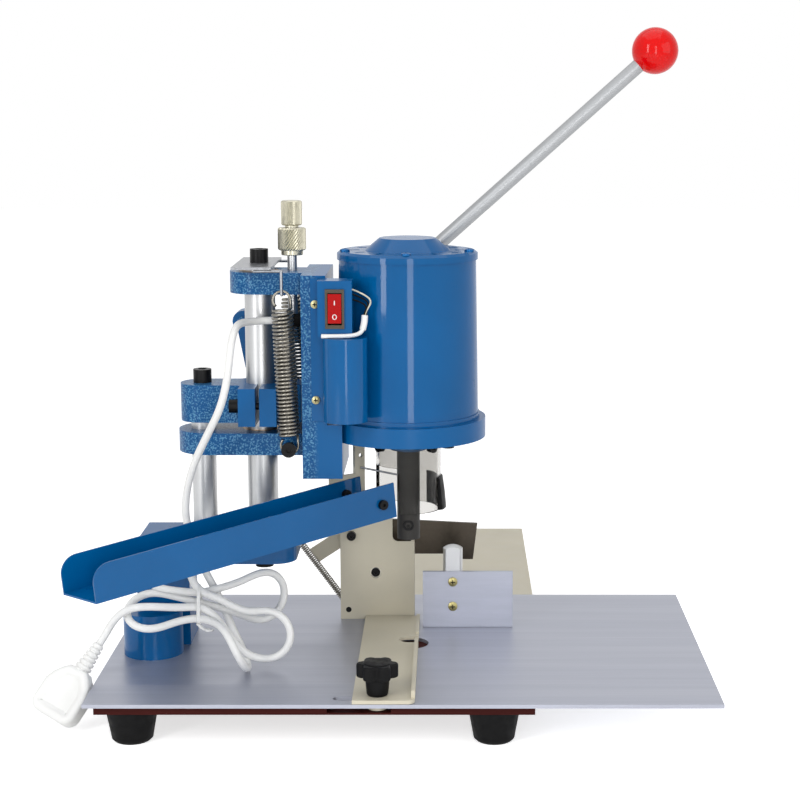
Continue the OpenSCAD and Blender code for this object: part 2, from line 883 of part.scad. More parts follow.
// Cream post behind the drill, open at its back and left
module support_post() {
  rear = post_front + post_d;
  notch_r = 5;
  color(cream)
    place()
      difference() {
        union() {
          span([-post_left, post_front, 0], [post_right, post_front + post_t, post_h]);
          span([post_right - post_t, post_front, 0], [post_right, rear, post_h]);
          span([-post_left, post_front, 0], [post_right, rear, post_t]);
        }
        upright(post_front - cut, post_d + 2*cut) {
          translate([post_right - post_notch_w + notch_r, post_notch_z])
            square([post_notch_w, post_h]);
          translate([post_right - post_notch_w, post_notch_z + notch_r])
            square([post_notch_w, post_h]);
          translate([post_right - post_notch_w + notch_r, post_notch_z + notch_r])
            circle(r = notch_r);
        }
        for (p = [brace_at, brace_low_pin])
          shaft_y([p[0], post_front - cut, p[1]], brace_pin_d, post_t + 2*cut);
        shaft_y([post_bolt[0], post_front - cut, post_bolt[1]], post_bolt_d + 2, post_t + 2*cut);
      }
}

// Pinch bolt of the clamp block, the post's screws and the two pins of the brace spring
module socket_screws() {
  low_len = brace_low_y + brace_pin_reach - post_front;
  arm_len = post_t + brace_boss_h + post_t;
  color(black)
    place() {
      translate([-main_x - clamp_ear_w/2, -pinch_y, clamp_z + clamp_t/2])
        rotate([0, -90, 0])
          cap_screw(pinch_head_d, pinch_head_h, pinch_d, clamp_ear_w, 5);
      translate([brace_at[0], post_front, brace_at[1]])
        rotate([90, 0, 0]) cap_screw(post_bolt_d, 4, brace_pin_d, arm_len, 4);
      translate([brace_low_pin[0], post_front, brace_low_pin[1]])
        rotate([-90, 0, 0]) {
          cylinder(d = brace_pin_d, h = low_len - 2*brace_pin_reach);
          cylinder(d = hook_pin_d, h = low_len);
        }
      translate([post_bolt[0], post_front + post_t, post_bolt[1]])
        rotate([90, 0, 0]) cap_screw(post_bolt_d, post_t - 1, brace_pin_d, 8, 4);
      shaft_y([brace_top_pin[0], block_rear - 10, brace_top_pin[1]], brace_pin_d,
        brace_top_y - brace_pin_reach - block_rear + 10);
      shaft_y([brace_top_pin[0], block_rear, brace_top_pin[1]], hook_pin_d,
        brace_top_y + brace_pin_reach - block_rear);
    }
}

// Children drawn in X and Z, laid on a plane of the given Y and thickened towards the rear
module upright(y, t) {
  translate([0, y, 0]) rotate([90, 0, 0]) mirror([0, 0, 1]) linear_extrude(t) children();
}

// Slanted arm that stands off the post on a round boss
module brace_arm() {
  run = brace_to - brace_at;
  back = post_front + post_t + brace_boss_h;
  color(cream)
    place()
      difference() {
        union() {
          shaft_y([brace_at[0], post_front + post_t, brace_at[1]], brace_w, brace_boss_h + post_t);
          upright(back, post_t)
            translate(brace_at)
              rotate(atan2(run[1], run[0]))
                translate([0, -brace_w/2]) square([norm(run), brace_w]);
        }
        shaft_y([brace_at[0], post_front, brace_at[1]], brace_pin_d, post_d);
      }
}

// Spring from the lower block's rear corner down to the foot of the post
brace_spring_r = (brace_spring_d - brace_spring_wire)/2;
brace_hang = hook_pin_d/2 + seat_gap + brace_spring_wire/2;
brace_a = [brace_low_pin[0], brace_low_y, brace_low_pin[1]];
brace_b = [brace_top_pin[0], brace_top_y, brace_top_pin[1]];
brace_run = unit(brace_b - brace_a);
brace_h = norm(brace_b - brace_a) + 2*brace_hang - 4*brace_spring_r;
brace_path = spring_path(brace_spring_r, brace_h, brace_spring_curls);
echo(brace_spring_gap = self_gap(brace_path, brace_spring_wire, 5));

module brace_spring() {
  color(black)
    place()
      aim(brace_a + brace_run*(2*brace_spring_r - brace_hang), brace_b)
        rotate(180) tube(brace_path, brace_spring_wire, tube_sides);
}

// Dark plate behind the post, its top edge falling to the right
module rear_shield() {
  top = shield_z + shield_h;
  color(black)
    place()
      upright(post_front + post_d, shield_t)
        polygon([
          [-shield_left, shield_z], [shield_tab[0], shield_z],
          [shield_tab[0], shield_z - shield_tab_drop],
          [shield_tab[1], shield_z - shield_tab_drop],
          [shield_right, top - shield_fall], [-shield_left, top]
        ]);
}

return_h = spring_top_z - spring_low_z;
return_path = spring_path(spring_r, return_h, spring_curls);
echo(return_spring_gap = self_gap(return_path, spring_wire, 5));

module return_springs() {
  color(steel)
    place()
      for (s = [-1, 1])
        aim([spring_screw_x, s*spring_y, spring_low_z], [spring_top_x, s*spring_y, spring_top_z])
          rotate(180) tube(return_path, spring_wire, tube_sides);
}

echo(hank_gap = self_gap(hank_points, cord_d, 5));

module cord_hank() {
  color(white) place() tube(hank_points, cord_d, tube_sides);
}

module cord_lead() {
  color(white) place() tube(lead_points, cord_d, 8);
}

module cord_tail() {
  color(white) place() tube(tail_points, cord_d, 8);
}

// Children are laid in the plug's frame: +Z away from the cord, +X to its pins
module plug_frame() {
  aim(plug_at, plug_at + plug_dir) rotate(plug_turn) children();
}

// Plug body with a tapered strain relief; its broad back faces away from the pins
module plug_body() {
  color(white)
    place()
      plug_frame() {
        cylinder(d1 = cord_d + 3, d2 = relief_d, h = relief_len);
        translate([-plug_t/2, 0, relief_len])
          rotate([90, 0, 90])
            linear_extrude(plug_t) {
              polygon([
                [-plug_neck/2, 0], [plug_neck/2, 0], [plug_w/2, plug_len*0.4],
                [plug_w/2, plug_len - plug_round], [plug_w/2 - plug_round, plug_len - plug_round],
                [plug_w/2 - plug_round, plug_len], [plug_round - plug_w/2, plug_len],
                [plug_round - plug_w/2, plug_len - plug_round], [-plug_w/2, plug_len - plug_round],
                [-plug_w/2, plug_len*0.4]
              ]);
              for (y = [-1, 1])
                translate([y*(plug_w/2 - plug_round), plug_len - plug_round]) circle(r = plug_round);
            }
      }
}

// Three flat pins
module plug_blades() {
  color(steel)
    place()
      plug_frame()
        for (q = [[-blade_y, blade_z[0]], [blade_y, blade_z[0]], [0, blade_z[1]]])
          translate([plug_t/2, q[0] - blade_w/2, relief_len + q[1] - blade_t/2])
            cube([blade_len, blade_w, blade_t]);
}

// Head: wall with two arms round the columns, flange for the motor, nose for the guard
module head_casting() {
  color(blue)
    place()
      difference() {
        union() {
          span([-wall_left, -wall_front, root_z], [-wall_right, wall_rear, arm_up_top]);
          span([-wall_left, -wall_front, root_z], [-root_right, wall_front, flange_top]);
          translate([0, 0, flange_z]) cylinder(d = flange_d, h = flange_t);
          translate([0, 0, flange_z - nose_h]) cylinder(d = nose_d, h = nose_h + cut);
          translate([0, 0, arm_up_z])
            linear_extrude(arm_up_t) {
              translate([-main_x, 0]) circle(r = arm_up_r);
              translate([-main_x, -arm_up_r]) square([main_x - wall_right, 2*arm_up_r]);
            }
          translate([0, 0, arm_low_z])
            linear_extrude(arm_low_t) {
              translate([-guide_x + 8, 0]) circle(r = arm_low_r);
              translate([-guide_x + 8, -arm_low_r])
                square([guide_x - 8 - wall_right, 2*arm_low_r]);
            }
          shaft_y([-pivot_x, wall_rear - 20, pivot_z], hub_d - 4, lever_y - 1 - wall_rear + 20);
        }
        for (z = [arm_low_z, arm_up_z])
          translate([-main_x, 0, z - cut]) cylinder(d = bush_d, h = arm_low_t + 2*cut);
        translate([-guide_x, 0, arm_low_z - cut])
          cylinder(d = guide_d + 2*run_gap, h = arm_low_t + 2*cut);
        translate([-depth_x, 0, arm_up_z - cut])
          cylinder(d = depth_d + 2*run_gap, h = arm_up_t + 2*cut);
        translate([0, 0, flange_z - nose_h - cut])
          cylinder(d = spindle_d + 2, h = flange_t + nose_h + 2*cut);
        translate([0, 0, bearing_low_z]) cylinder(d = bearing_d, h = bearing_w + cut);
        shaft_y([-pivot_x, wall_rear - 30, pivot_z], pivot_d, 60);
        for (s = [-1, 1])
          translate([spring_screw_x, s*arm_low_r, spring_screw_z])
            rotate([s*90, 0, 0])
              translate([0, 0, -cut]) cylinder(d = spring_screw_d, h = 14 + cut);
        for (a = flange_bolt_at)
          rotate(a)
            translate([flange_bolt_r, 0, flange_z - cut])
              cylinder(d = flange_bolt_d, h = flange_t - 4 + cut);
        for (a = guard_screw_at)
          rotate([0, 0, a])
            shaft_x([spindle_d/2 + 1, 0, guard_screw_z], guard_screw_d, nose_d);
        for (z = panel_screw_z)
          shaft_y([panel_screw_x, -wall_front - cut, z], pan_shank_d, pan_shank_h + cut);
      }
}

module guide_bushes() {
  color([0.70, 0.55, 0.28])
    place()
      for (b = [[arm_low_z, arm_low_t], [arm_up_z, arm_up_t]])
        translate([-main_x, 0, b[0]])
          difference() {
            cylinder(d = bush_d, h = b[1]);
            translate([0, 0, -cut]) cylinder(d = main_d + 2*run_gap, h = b[1] + 2*cut);
          }
}

module spring_screws() {
  head_y = spring_y + spring_wire/2 + 3;
  color(black)
    place()
      for (s = [-1, 1])
        translate([spring_screw_x, s*head_y, spring_screw_z])
          rotate([-s*90, 0, 0])
            cap_screw(spring_screw_head_d, 4, spring_screw_d, head_y - arm_low_r + 13, 5);
}

module motor_shell() {
  color(blue)
    place()
      translate([0, 0, flange_top])
        difference() {
          union() {
            cylinder(d1 = motor_low_d, d2 = motor_top_d, h = motor_h, $fn = 96);
            cylinder(d = motor_low_d + 2, h = 4, $fn = 96);
          }
          translate([0, 0, -cut])
            cylinder(d = stator_d, h = motor_h + 2*cut, $fn = 96);
        }
}

// End cap with a rim, a cone in the middle and a ring of slots
module motor_cap() {
  r = motor_top_d/2;
  pocket_d = bearing_d + 8;
  color(blue)
    place()
      translate([0, 0, motor_top])
        difference() {
          union() {
            rotate_extrude($fn = 96)
              polygon([
                [0, 0], [r + 1.5, 0], [r + 1.5, motor_cap_h - 2], [r - 1, motor_cap_h],
                [boss_low_d/2, motor_cap_h], [boss_d/2, motor_cap_h + motor_boss_h],
                [0, motor_cap_h + motor_boss_h]
              ]);
            translate([0, 0, -bearing_w]) cylinder(d = pocket_d, h = bearing_w + cut);
          }
          translate([0, 0, -bearing_w - cut]) cylinder(d = bearing_d, h = bearing_w + cut);
          translate([0, 0, -cut]) cylinder(d = shaft_d + 2, h = motor_cap_h + cut);
          for (i = [0:vent_n - 1])
            rotate(i*360/vent_n)
              translate([boss_low_d/2 + 4, -vent_w/2, -cut])
                cube([9, vent_w, motor_cap_h + 2*cut]);
          for (a = cap_screw_at)
            rotate(a)
              translate([r - 4, 0, motor_cap_h - pan_shank_h])
                cylinder(d = pan_shank_d, h = pan_shank_h + cut);
        }
}
cap_screw_at = [-165, -90, -15, 90];

// Cross head screws of the motor's end cap and of the control panel
module pan_screws() {
  color([0.75, 0.62, 0.32])
    place() {
      for (a = cap_screw_at)
        rotate(a)
          translate([motor_top_d/2 - 4, 0, motor_top + motor_cap_h])
            pan_screw(pan_head_d);
      for (z = panel_screw_z)
        translate([panel_screw_x, -wall_front - panel_t, z])
          rotate([90, 0, 0]) pan_screw(panel_head_d);
    }
}

module stator() {
  color(steel)
    place()
      translate([0, 0, stator_z])
        difference() {
          cylinder(d = stator_d, h = stator_h, $fn = 96);
          translate([0, 0, -cut]) cylinder(d = stator_bore, h = stator_h + 2*cut);
        }
}

module bearings() {
  color(steel)
    place()
      for (z = [bearing_low_z, bearing_up_z])
        translate([0, 0, z])
          difference() {
            cylinder(d = bearing_d, h = bearing_w);
            translate([0, 0, -cut]) cylinder(d = shaft_d + 2*run_gap, h = bearing_w + 2*cut);
          }
}

// Clear tube round the spindle with a window towards the chute
module guard_tube() {
  color([0.80, 0.86, 0.90, 0.35])
    place()
      translate([0, 0, guard_z])
        difference() {
          cylinder(d = guard_d, h = flange_z - guard_z, $fn = 96);
          translate([0, 0, -cut])
            cylinder(d = guard_d - 2*guard_wall, h = flange_z - guard_z + 2*cut, $fn = 96);
          rotate(chute_yaw)
            translate([-guard_d, -guard_window_w/2, -cut])
              cube([guard_d, guard_window_w, guard_window_h + cut]);
          for (a = guard_screw_at)
            rotate(a) shaft_x([0, 0, guard_screw_z - guard_z], guard_screw_d + 2*run_gap, guard_d);
        }
}

// Dark lip that hugs the guard's lower right side
module guard_strip() {
  color(black)
    place()
      rotate([0, 0, -25])
        rotate_extrude(angle = 80)
          polygon([
            [guard_d/2, guard_z], [guard_d/2 + 4.5, guard_z + 1],
            [guard_d/2 + 3.4, guard_z + 14], [guard_d/2 + guard_strip_t, guard_z + 27],
            [guard_d/2, guard_z + 27]
          ]);
}

// Children are laid in the chute's frame: +X towards the drill, +Y to the far wall
module chute_frame() {
  rotate(chute_yaw) translate([0, 0, chute_z]) rotate([0, -chute_fall, 0]) children();
}

// Cream bracket from the flange's underside to the chute's far wall
module chip_bracket() {
  y = chute_w/2;
  t = chute_bracket_t;
  color(cream)
    place()
      difference() {
        rotate(chute_yaw) {
          span([-chute_bracket_left, y, chute_band_z],
            [-chute_bracket_right, y + t, chute_band_z + chute_band_h]);
          span([-chute_tab_left, y, chute_band_z], [-chute_bracket_right, y + t, flange_z]);
          span([-chute_tab_left, y, flange_z - t], [-chute_bracket_right, y + chute_tab_y, flange_z]);
        }
        rotate(chute_yaw) shaft_y([bracket_hole[0], y - cut, bracket_hole[1]], bracket_hole_d, t + 2*cut);
        chute_frame()
          shaft_y([chute_far_screw[0], y - cut, chute_far_screw[1]], chute_screw_d, t + 2*cut);
      }
}

// Wire that leads the chips out of the spindle's window into the chute
module chip_finger() {
  z = chute_z + 27;
  color(steel)
    place()
      rotate(chute_yaw)
        rod([-35, chute_w/2 - finger_d/2, z + 6], [-spindle_d/2 - finger_reach, 0, z], finger_d);
}

// Side of the chute from its mouth to an end near the drill
module chute_side(reach, end) {
  difference() {
    translate([-reach, 0]) square([reach - end, chute_h]);
    translate([-reach - cut, chute_h - chute_round])
      difference() {
        square(chute_round + cut);
        translate([chute_round + cut, 0]) circle(r = chute_round);
      }
  }
}

module chip_chute() {
  color(blue)
    place()
      chute_frame()
        difference() {
          union() {
            linear_extrude(chute_t)
              polygon([
                [-chute_reach, -chute_w/2], [-chute_floor_end, -chute_w/2],
                [-chute_floor_end, chute_w/2], [-chute_reach - chute_skew, chute_w/2]
              ]);
            translate([0, -chute_w/2 + chute_t, 0])
              rotate([90, 0, 0]) linear_extrude(chute_t) chute_side(chute_reach, chute_near_end);
            translate([0, chute_w/2, 0])
              rotate([90, 0, 0])
                linear_extrude(chute_t) chute_side(chute_reach + chute_skew, chute_far_end);
          }
          shaft_y([chute_far_screw[0], chute_w/2 - 2*chute_t, chute_far_screw[1]], chute_screw_d, 3*chute_t);
          shaft_y([chute_near_screw[0], -chute_w/2 - cut, chute_near_screw[1]], chute_screw_d, 3*chute_t);
        }
}

// Black screws of the head: round the guard, under the flange and in the chute's walls
module black_screws() {
  guard_len = guard_d/2 - spindle_d/2 - 2.5;
  color(black)
    place() {
      for (a = guard_screw_at)
        rotate(a)
          translate([guard_d/2 + seat_gap, 0, guard_screw_z])
            rotate([0, 90, 0]) cap_screw(guard_screw_head_d, 5, guard_screw_d, guard_len, 3);
      for (a = flange_bolt_at)
        rotate(a)
          translate([flange_bolt_r, 0, flange_z])
            mirror([0, 0, 1])
              cap_screw(flange_bolt_head_d, flange_bolt_head_h, flange_bolt_d, flange_t - 4, 5);
      chute_frame() {
        translate([chute_far_screw[0], chute_w/2 - chute_t, chute_far_screw[1]])
          rotate([90, 0, 0])
            cap_screw(chute_screw_head_d, chute_screw_head_h, chute_screw_d, chute_t + chute_bracket_t, 3);
        translate([chute_near_screw[0], -chute_w/2, chute_near_screw[1]])
          rotate([90, 0, 0])
            cap_screw(chute_screw_head_d, chute_screw_head_h, chute_screw_d, chute_t + 2, 3);
      }
    }
}

module control_panel() {
  color(blue)
    place()
      difference() {
        span([-panel_left, -wall_front - panel_t, panel_z], [-panel_right, -wall_front, panel_top]);
        for (z = panel_screw_z)
          shaft_y([panel_screw_x, -wall_front - panel_t - cut, z], pan_shank_d, panel_t + 2*cut);
      }
}

// Folded box for the switch, open at its back
module switch_box() {
  wall = 1.5;
  front = -wall_front - panel_t - switch_box_t;
  color(blue)
    place()
      difference() {
        span([-switch_left, front, switch_z],
          [-switch_left + switch_box_w, -wall_front - panel_t, switch_z + switch_box_h]);
        span([-switch_left + wall, front + wall, switch_z + wall],
          [-switch_left + switch_box_w - wall, -wall_front, switch_z + switch_box_h - wall]);
        span([bezel_x - bezel_w/2 + bezel_lip, front - cut, bezel_z - bezel_h/2 + bezel_lip],
          [bezel_x + bezel_w/2 - bezel_lip, front + 2*cut, bezel_z + bezel_h/2 - bezel_lip]);
      }
}

// Bezel and body of the switch, hollow for the rocker
module switch_bezel() {
  front = -wall_front - panel_t - switch_box_t;
  color(black)
    place()
      difference() {
        union() {
          span([bezel_x - bezel_w/2, front - bezel_t, bezel_z - bezel_h/2],
            [bezel_x + bezel_w/2, front, bezel_z + bezel_h/2]);
          span([bezel_x - bezel_w/2 + bezel_lip, front - bezel_t, bezel_z - bezel_h/2 + bezel_lip],
            [bezel_x + bezel_w/2 - bezel_lip, front + 12, bezel_z + bezel_h/2 - bezel_lip]);
        }
        span([bezel_x - rocker_w/2 - rocker_gap, front - bezel_t - cut, bezel_z - rocker_h/2 - rocker_gap],
          [bezel_x + rocker_w/2 + rocker_gap, front + 9, bezel_z + rocker_h/2 + rocker_gap]);
      }
}
rocker_axis_y = -wall_front - panel_t - switch_box_t + 3;
rocker_tilt = 9;

// Rocker with two flats that meet on its middle line, carried on a cross pin
module rocker() {
  rise = rocker_h/2*tan(rocker_tilt);
  edge = rocker_t - 1.5;
  color(red)
    place()
      translate([bezel_x, rocker_axis_y, bezel_z]) {
        rotate([90, 0, -90])
          translate([0, 0, -rocker_w/2])
            linear_extrude(rocker_w)
              rotate(rocker_tilt/2)
                polygon([
                  [-1, -rocker_h/2 + 0.8], [edge, -rocker_h/2 + 0.8], [edge + 1.5 - rise, 0],
                  [edge, rocker_h/2 - 0.8], [-1, rocker_h/2 - 0.8], [-4, 0]
                ]);
        shaft_x([-rocker_w/2 - 0.3, 0, 0], 2, rocker_w + 0.6);
      }
}

// Round cover over the capacitor, flat against the panel and open below
module capacitor_cover() {
  color(blue)
    place()
      difference() {
        translate([cap_cover_x, cap_cover_y, cap_cover_z]) cylinder(d = cap_cover_d, h = cap_cover_h);
        translate([cap_cover_x, cap_cover_y, cap_cover_z - cut])
          cylinder(d = cap_cover_d - 2*cap_cover_wall, h = cap_cover_h - cap_cover_wall + cut);
        span([cap_cover_x - cap_cover_d, -wall_front - panel_t, cap_cover_z - cut],
          [cap_cover_x + cap_cover_d, 0, cap_cover_z + cap_cover_h + cut]);
      }
}

module capacitor() {
  color(white)
    place()
      difference() {
        translate([cap_cover_x, cap_cover_y, cap_cover_z + 3])
          cylinder(d = capacitor_d, h = cap_cover_h - cap_cover_wall - 3);
        span([cap_cover_x - cap_cover_d, -wall_front - panel_t, cap_cover_z - cut],
          [cap_cover_x + cap_cover_d, 0, cap_cover_z + cap_cover_h + cut]);
      }
}

module lever_pin() {
  color(steel)
    place() {
      shaft_y([-pivot_x, wall_rear - 30, pivot_z], pivot_d, lever_y + hub_t + 3.5 - wall_rear + 30);
      shaft_y([-pivot_x, lever_y + hub_t + 0.5, pivot_z], pivot_d + 8, 3);
    }
}

module cord_gland() {
  color(black)
    place()
      translate([-wall_left, gland_y, gland_z])
        rotate([0, -90, 0])
          difference() {
            cylinder(d1 = gland_d, d2 = cord_d + 2, h = gland_len);
            translate([0, 0, gland_len - 6]) cylinder(d = cord_d + 0.8, h = 7);
          }
}

// Rotor on the motor's shaft
module rotor() {
  color(steel)
    place() {
      translate([0, 0, shaft_low_z]) cylinder(d = shaft_d, h = rotor_top_z - shaft_low_z);
      translate([0, 0, stator_z + 2]) cylinder(d = stator_bore - 2*air_gap, h = stator_h - 4);
    }
}

// Hollow sleeve under the motor with the window through which the chips leave
module spindle() {
  z0 = chuck_z + chuck_h;
  z1 = flange_z - nose_h + 8;
  color([0.16, 0.15, 0.14])
    place()
      difference() {
        translate([0, 0, z0]) cylinder(d = spindle_d, h = z1 - z0);
        translate([0, 0, z0 - cut]) cylinder(d = drill_bore_d + 2, h = z1 - z0 + 2*cut);
        translate([0, 0, shaft_low_z]) cylinder(d = shaft_d, h = z1);
        rotate(chute_yaw) span([-spindle_d, -2.5, chute_z + 12], [0, 2.5, chute_z + 26]);
      }
}

// Chuck with its set screw
module drill_chuck() {
  screw_d = 5;
  screw_z = chuck_z + chuck_h/2;
  color([0.13, 0.12, 0.11])
    place() {
      difference() {
        translate([0, 0, chuck_z]) cylinder(d = spindle_d, h = chuck_h);
        translate([0, 0, chuck_z - cut]) cylinder(d = drill_bore_d, h = chuck_h + 2*cut);
        translate([0, 0, screw_z]) rotate([90, 0, 0]) cylinder(d = screw_d, h = spindle_d);
      }
      translate([0, -drill_bore_d/2 - 0.5, screw_z])
        rotate([90, 0, 0])
          difference() {
            cylinder(d = screw_d, h = spindle_d/2 - drill_bore_d/2 - 1.5);
            translate([0, 0, 2]) cylinder(d = 2.5, h = spindle_d, $fn = 6);
          }
    }
}

module depth_rod() {
  color(bright)
    place()
      translate([-depth_x, 0, depth_low_z])
        cylinder(d = depth_d, h = depth_knob_z + depth_knob_h/2 - depth_low_z);
}

module depth_knob() {
  color([0.72, 0.70, 0.62])
    place()
      translate([-depth_x, 0, depth_knob_z])
        difference() {
          union() {
            translate([0, 0, -depth_neck_h]) cylinder(d = depth_neck_d, h = depth_neck_h + cut);
            rotate_extrude()
              polygon([
                [0, 0], [depth_knob_d/2 - 1, 0], [depth_knob_d/2, 1],
                [depth_knob_d/2, depth_knob_h - 1], [depth_knob_d/2 - 1, depth_knob_h],
                [0, depth_knob_h]
              ]);
          }
          translate([0, 0, -depth_neck_h - cut])
            cylinder(d = depth_d + 2*run_gap, h = depth_knob_h/2 + depth_neck_h + cut);
        }
}

module lock_nut() {
  color([0.72, 0.70, 0.62])
    place()
      translate([-depth_x, 0, lock_nut_z])
        difference() {
          rotate_extrude()
            polygon([
              [0, 0], [lock_collar_d/2, 0], [lock_collar_d/2, lock_collar_h],
              [lock_nut_d/2 - 1, lock_collar_h], [lock_nut_d/2, lock_collar_h + 1],
              [lock_nut_d/2, lock_collar_h + lock_nut_h - 1.3],
              [lock_nut_d/2 - 1, lock_collar_h + lock_nut_h - seat_gap],
              [0, lock_collar_h + lock_nut_h - seat_gap]
            ]);
          translate([0, 0, -cut])
            cylinder(d = depth_d + 2*run_gap, h = lock_nut_h + lock_collar_h + 2*cut);
        }
}

// Children are laid along the lever: +X from the pivot towards the ball
module lever_frame() {
  translate([-pivot_x, 0, pivot_z]) rotate([0, -lever_rise, 0]) children();
}

// Hub with a socket for the rod and an arm to the crank pin
module lever_arm() {
  crank_len = norm([crank_dx, crank_dz]);
  color(blue)
    place()
      difference() {
        union() {
          shaft_y([-pivot_x, lever_y, pivot_z], hub_d, hub_t);
          lever_frame() shaft_x([socket_x, rod_y, 0], socket_d, socket_len - socket_x);
          translate([-pivot_x, lever_y, pivot_z])
            rotate([0, atan2(crank_dz, crank_dx), 0])
              translate([-crank_len, 0, -crank_w/2]) cube([crank_len, lever_plate_t, crank_w]);
          shaft_y([crank_x, lever_y, crank_z], crank_eye_d, lever_plate_t);
          shaft_y([crank_x, link_y - 1, crank_z], link_pin_d, lever_y - link_y + 2);
        }
        shaft_y([-pivot_x, lever_y - cut, pivot_z], pivot_d + 2*run_gap, hub_t + 2*cut);
        lever_frame() shaft_x([rod_seat, rod_y, 0], rod_d, socket_len);
      }
}

rod_end = lever_len - ball_d/4;

module lever_rod() {
  color(bright) place() lever_frame() shaft_x([rod_seat, rod_y, 0], rod_d, rod_end - rod_seat);
}

module lever_ball() {
  color(red)
    place()
      lever_frame()
        difference() {
          translate([lever_len, rod_y, 0]) sphere(d = ball_d);
          shaft_x([rod_seat, rod_y, 0], rod_d, rod_end - rod_seat);
        }
}

// Link from the crank pin down to the fixed pin, with a long hole at its foot
module link() {
  run = [link_dx, -link_dz];
  foot_w = link_pin_d + link_play;
  color(blue)
    place()
      translate([crank_x, 0, crank_z])
        upright(link_y, link_t)
          difference() {
            union() {
              circle(d = crank_eye_d);
              rotate(atan2(run[1], run[0])) translate([0, -link_w/2]) square([norm(run), link_w]);
              slot(run - [link_slot/2, 0], run + [link_slot/2, 0], foot_w + 8);
            }
            circle(d = link_pin_d + 2*run_gap);
            slot(run - [link_slot/2, 0], run + [link_slot/2, 0], foot_w);
          }
}

// Side gauge with a low fence, and the nut of its stud under the table
module side_gauge() {
  rear = post_front - gauge_gap;
  corner = 6;
  color(cream)
    place()
      translate([0, 0, seat_gap])
        difference() {
          union() {
            linear_extrude(gauge_t) {
              translate([-gauge_left, -table_front])
                square([gauge_left + gauge_right - corner, table_front + rear]);
              translate([-gauge_left, -table_front + corner])
                square([gauge_left + gauge_right, table_front + rear - corner]);
              translate([gauge_right - corner, -table_front + corner]) circle(r = corner);
            }
            span([gauge_right - fence_w, -table_front + corner, 0],
              [gauge_right, -table_hole_d/2 + fence_rear, fence_h]);
            span([gauge_right - fence_w, table_hole_d/2, 0], [gauge_right, rear, fence_h/2]);
          }
          translate([0, 0, -cut]) cylinder(d = table_hole_d/2, h = fence_h + 2*cut);
          span([0, -table_hole_d/4, -cut], [gauge_right + cut, table_hole_d/4, fence_h + cut]);
          translate([knob_at[0], knob_at[1], -cut])
            cylinder(d = stud_d + 2*run_gap, h = gauge_t + 2*cut);
        }
  color(steel)
    place()
      translate([knob_at[0], knob_at[1], -table_t - seat_gap - clamp_nut_h])
        difference() {
          cylinder(d = clamp_nut_d, h = clamp_nut_h);
          translate([0, 0, -cut]) cylinder(d = stud_d + 2*run_gap, h = clamp_nut_h + 2*cut);
        }
}

// Lobed knob with its stem and stud
module star_knob() {
  lobe_d = star_d/3.2;
  stud_h = table_t + clamp_nut_h + gauge_t + 3*seat_gap;
  color(black)
    place()
      translate([knob_at[0], knob_at[1], gauge_t + 2*seat_gap]) {
        cylinder(d1 = knob_stem_d - 4, d2 = knob_stem_d, h = knob_stem_h);
        translate([0, 0, knob_stem_h])
          linear_extrude(knob_head_h) {
            circle(d = star_d - lobe_d*0.9);
            for (i = [0:knob_lobes - 1])
              rotate(i*360/knob_lobes) translate([(star_d - lobe_d)/2, 0]) circle(d = lobe_d);
          }
        translate([0, 0, -stud_h]) cylinder(d = stud_d, h = stud_h + cut);
      }
}

// Back stop that the paper's rear edge meets
module back_stop() {
  color(bright)
    place()
      difference() {
        span([stop_left, stop_y, seat_gap], [stop_left + stop_w, stop_y + stop_t, stop_h]);
        for (z = stop_screw_z)
          shaft_y([stop_post_x, stop_y - cut, z], pan_shank_d, stop_t + 2*cut);
      }
}

// Round post with a flat for the back stop and a domed top
module stop_post() {
  flat_y = stop_y + stop_t;
  dome_r = 14;
  color(bright)
    place()
      difference() {
        intersection() {
          translate([stop_post_x, stop_post_y, seat_gap]) cylinder(d = stop_post_d, h = stop_post_h);
          union() {
            translate([stop_post_x, stop_post_y, stop_post_h - dome_r]) sphere(r = dome_r);
            translate([stop_post_x, stop_post_y, 0])
              cylinder(d = 2*stop_post_d, h = stop_post_h - dome_r + 2);
          }
        }
        span([stop_post_x - stop_post_d, 0, -cut], [stop_post_x + stop_post_d, flat_y, stop_post_h + cut]);
        for (z = stop_screw_z)
          shaft_y([stop_post_x, flat_y - cut, z], pan_shank_d, pan_shank_h + cut);
        translate([stop_post_x, stop_post_y, -cut]) cylinder(d = stud_d, h = 15 + cut);
      }
}

// Cross head screws of the back stop and the bolt that holds its post from below
module stop_screws() {
  color([0.75, 0.62, 0.32])
    place() {
      for (z = stop_screw_z)
        translate([stop_post_x, stop_y, z]) rotate([90, 0, 0]) pan_screw(pan_head_d);
      translate([stop_post_x, stop_post_y, -table_t - board_t - seat_gap])
        mirror([0, 0, 1])
          cap_screw(stop_bolt_head_d, stop_bolt_head_h, stud_d, table_t + board_t + 14, 6);
    }
}

table_plate();
base_board();
rear_plate();
rubber_feet();
pedestal();
lower_block();
main_column();
guide_column();
cap_screws();
clamp_block();
socket_screws();
spring_plate();
link_pin();
support_post();
brace_arm();
brace_spring();
rear_shield();
return_springs();
cord_lead();
cord_hank();
cord_tail();
plug_body();
plug_blades();
head_casting();
guide_bushes();
spring_screws();
motor_shell();
motor_cap();
pan_screws();
stator();
bearings();
guard_tube();
guard_strip();
black_screws();
chip_bracket();
chip_finger();
chip_chute();
control_panel();
switch_box();
switch_bezel();
capacitor_cover();
capacitor();
lever_pin();
cord_gland();
rocker();
rotor();
spindle();
drill_chuck();
depth_rod();
depth_knob();
lock_nut();
lever_arm();
lever_rod();
lever_ball();
link();
side_gauge();
star_knob();
back_stop();
stop_post();
stop_screws();
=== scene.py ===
"""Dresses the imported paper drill.

Finishes, cord, springs, small fittings and a white studio stage.
"""

import math

import bmesh
import bpy
from bpy.props import FloatProperty, FloatVectorProperty, IntProperty, PointerProperty
from mathutils import Matrix, Vector


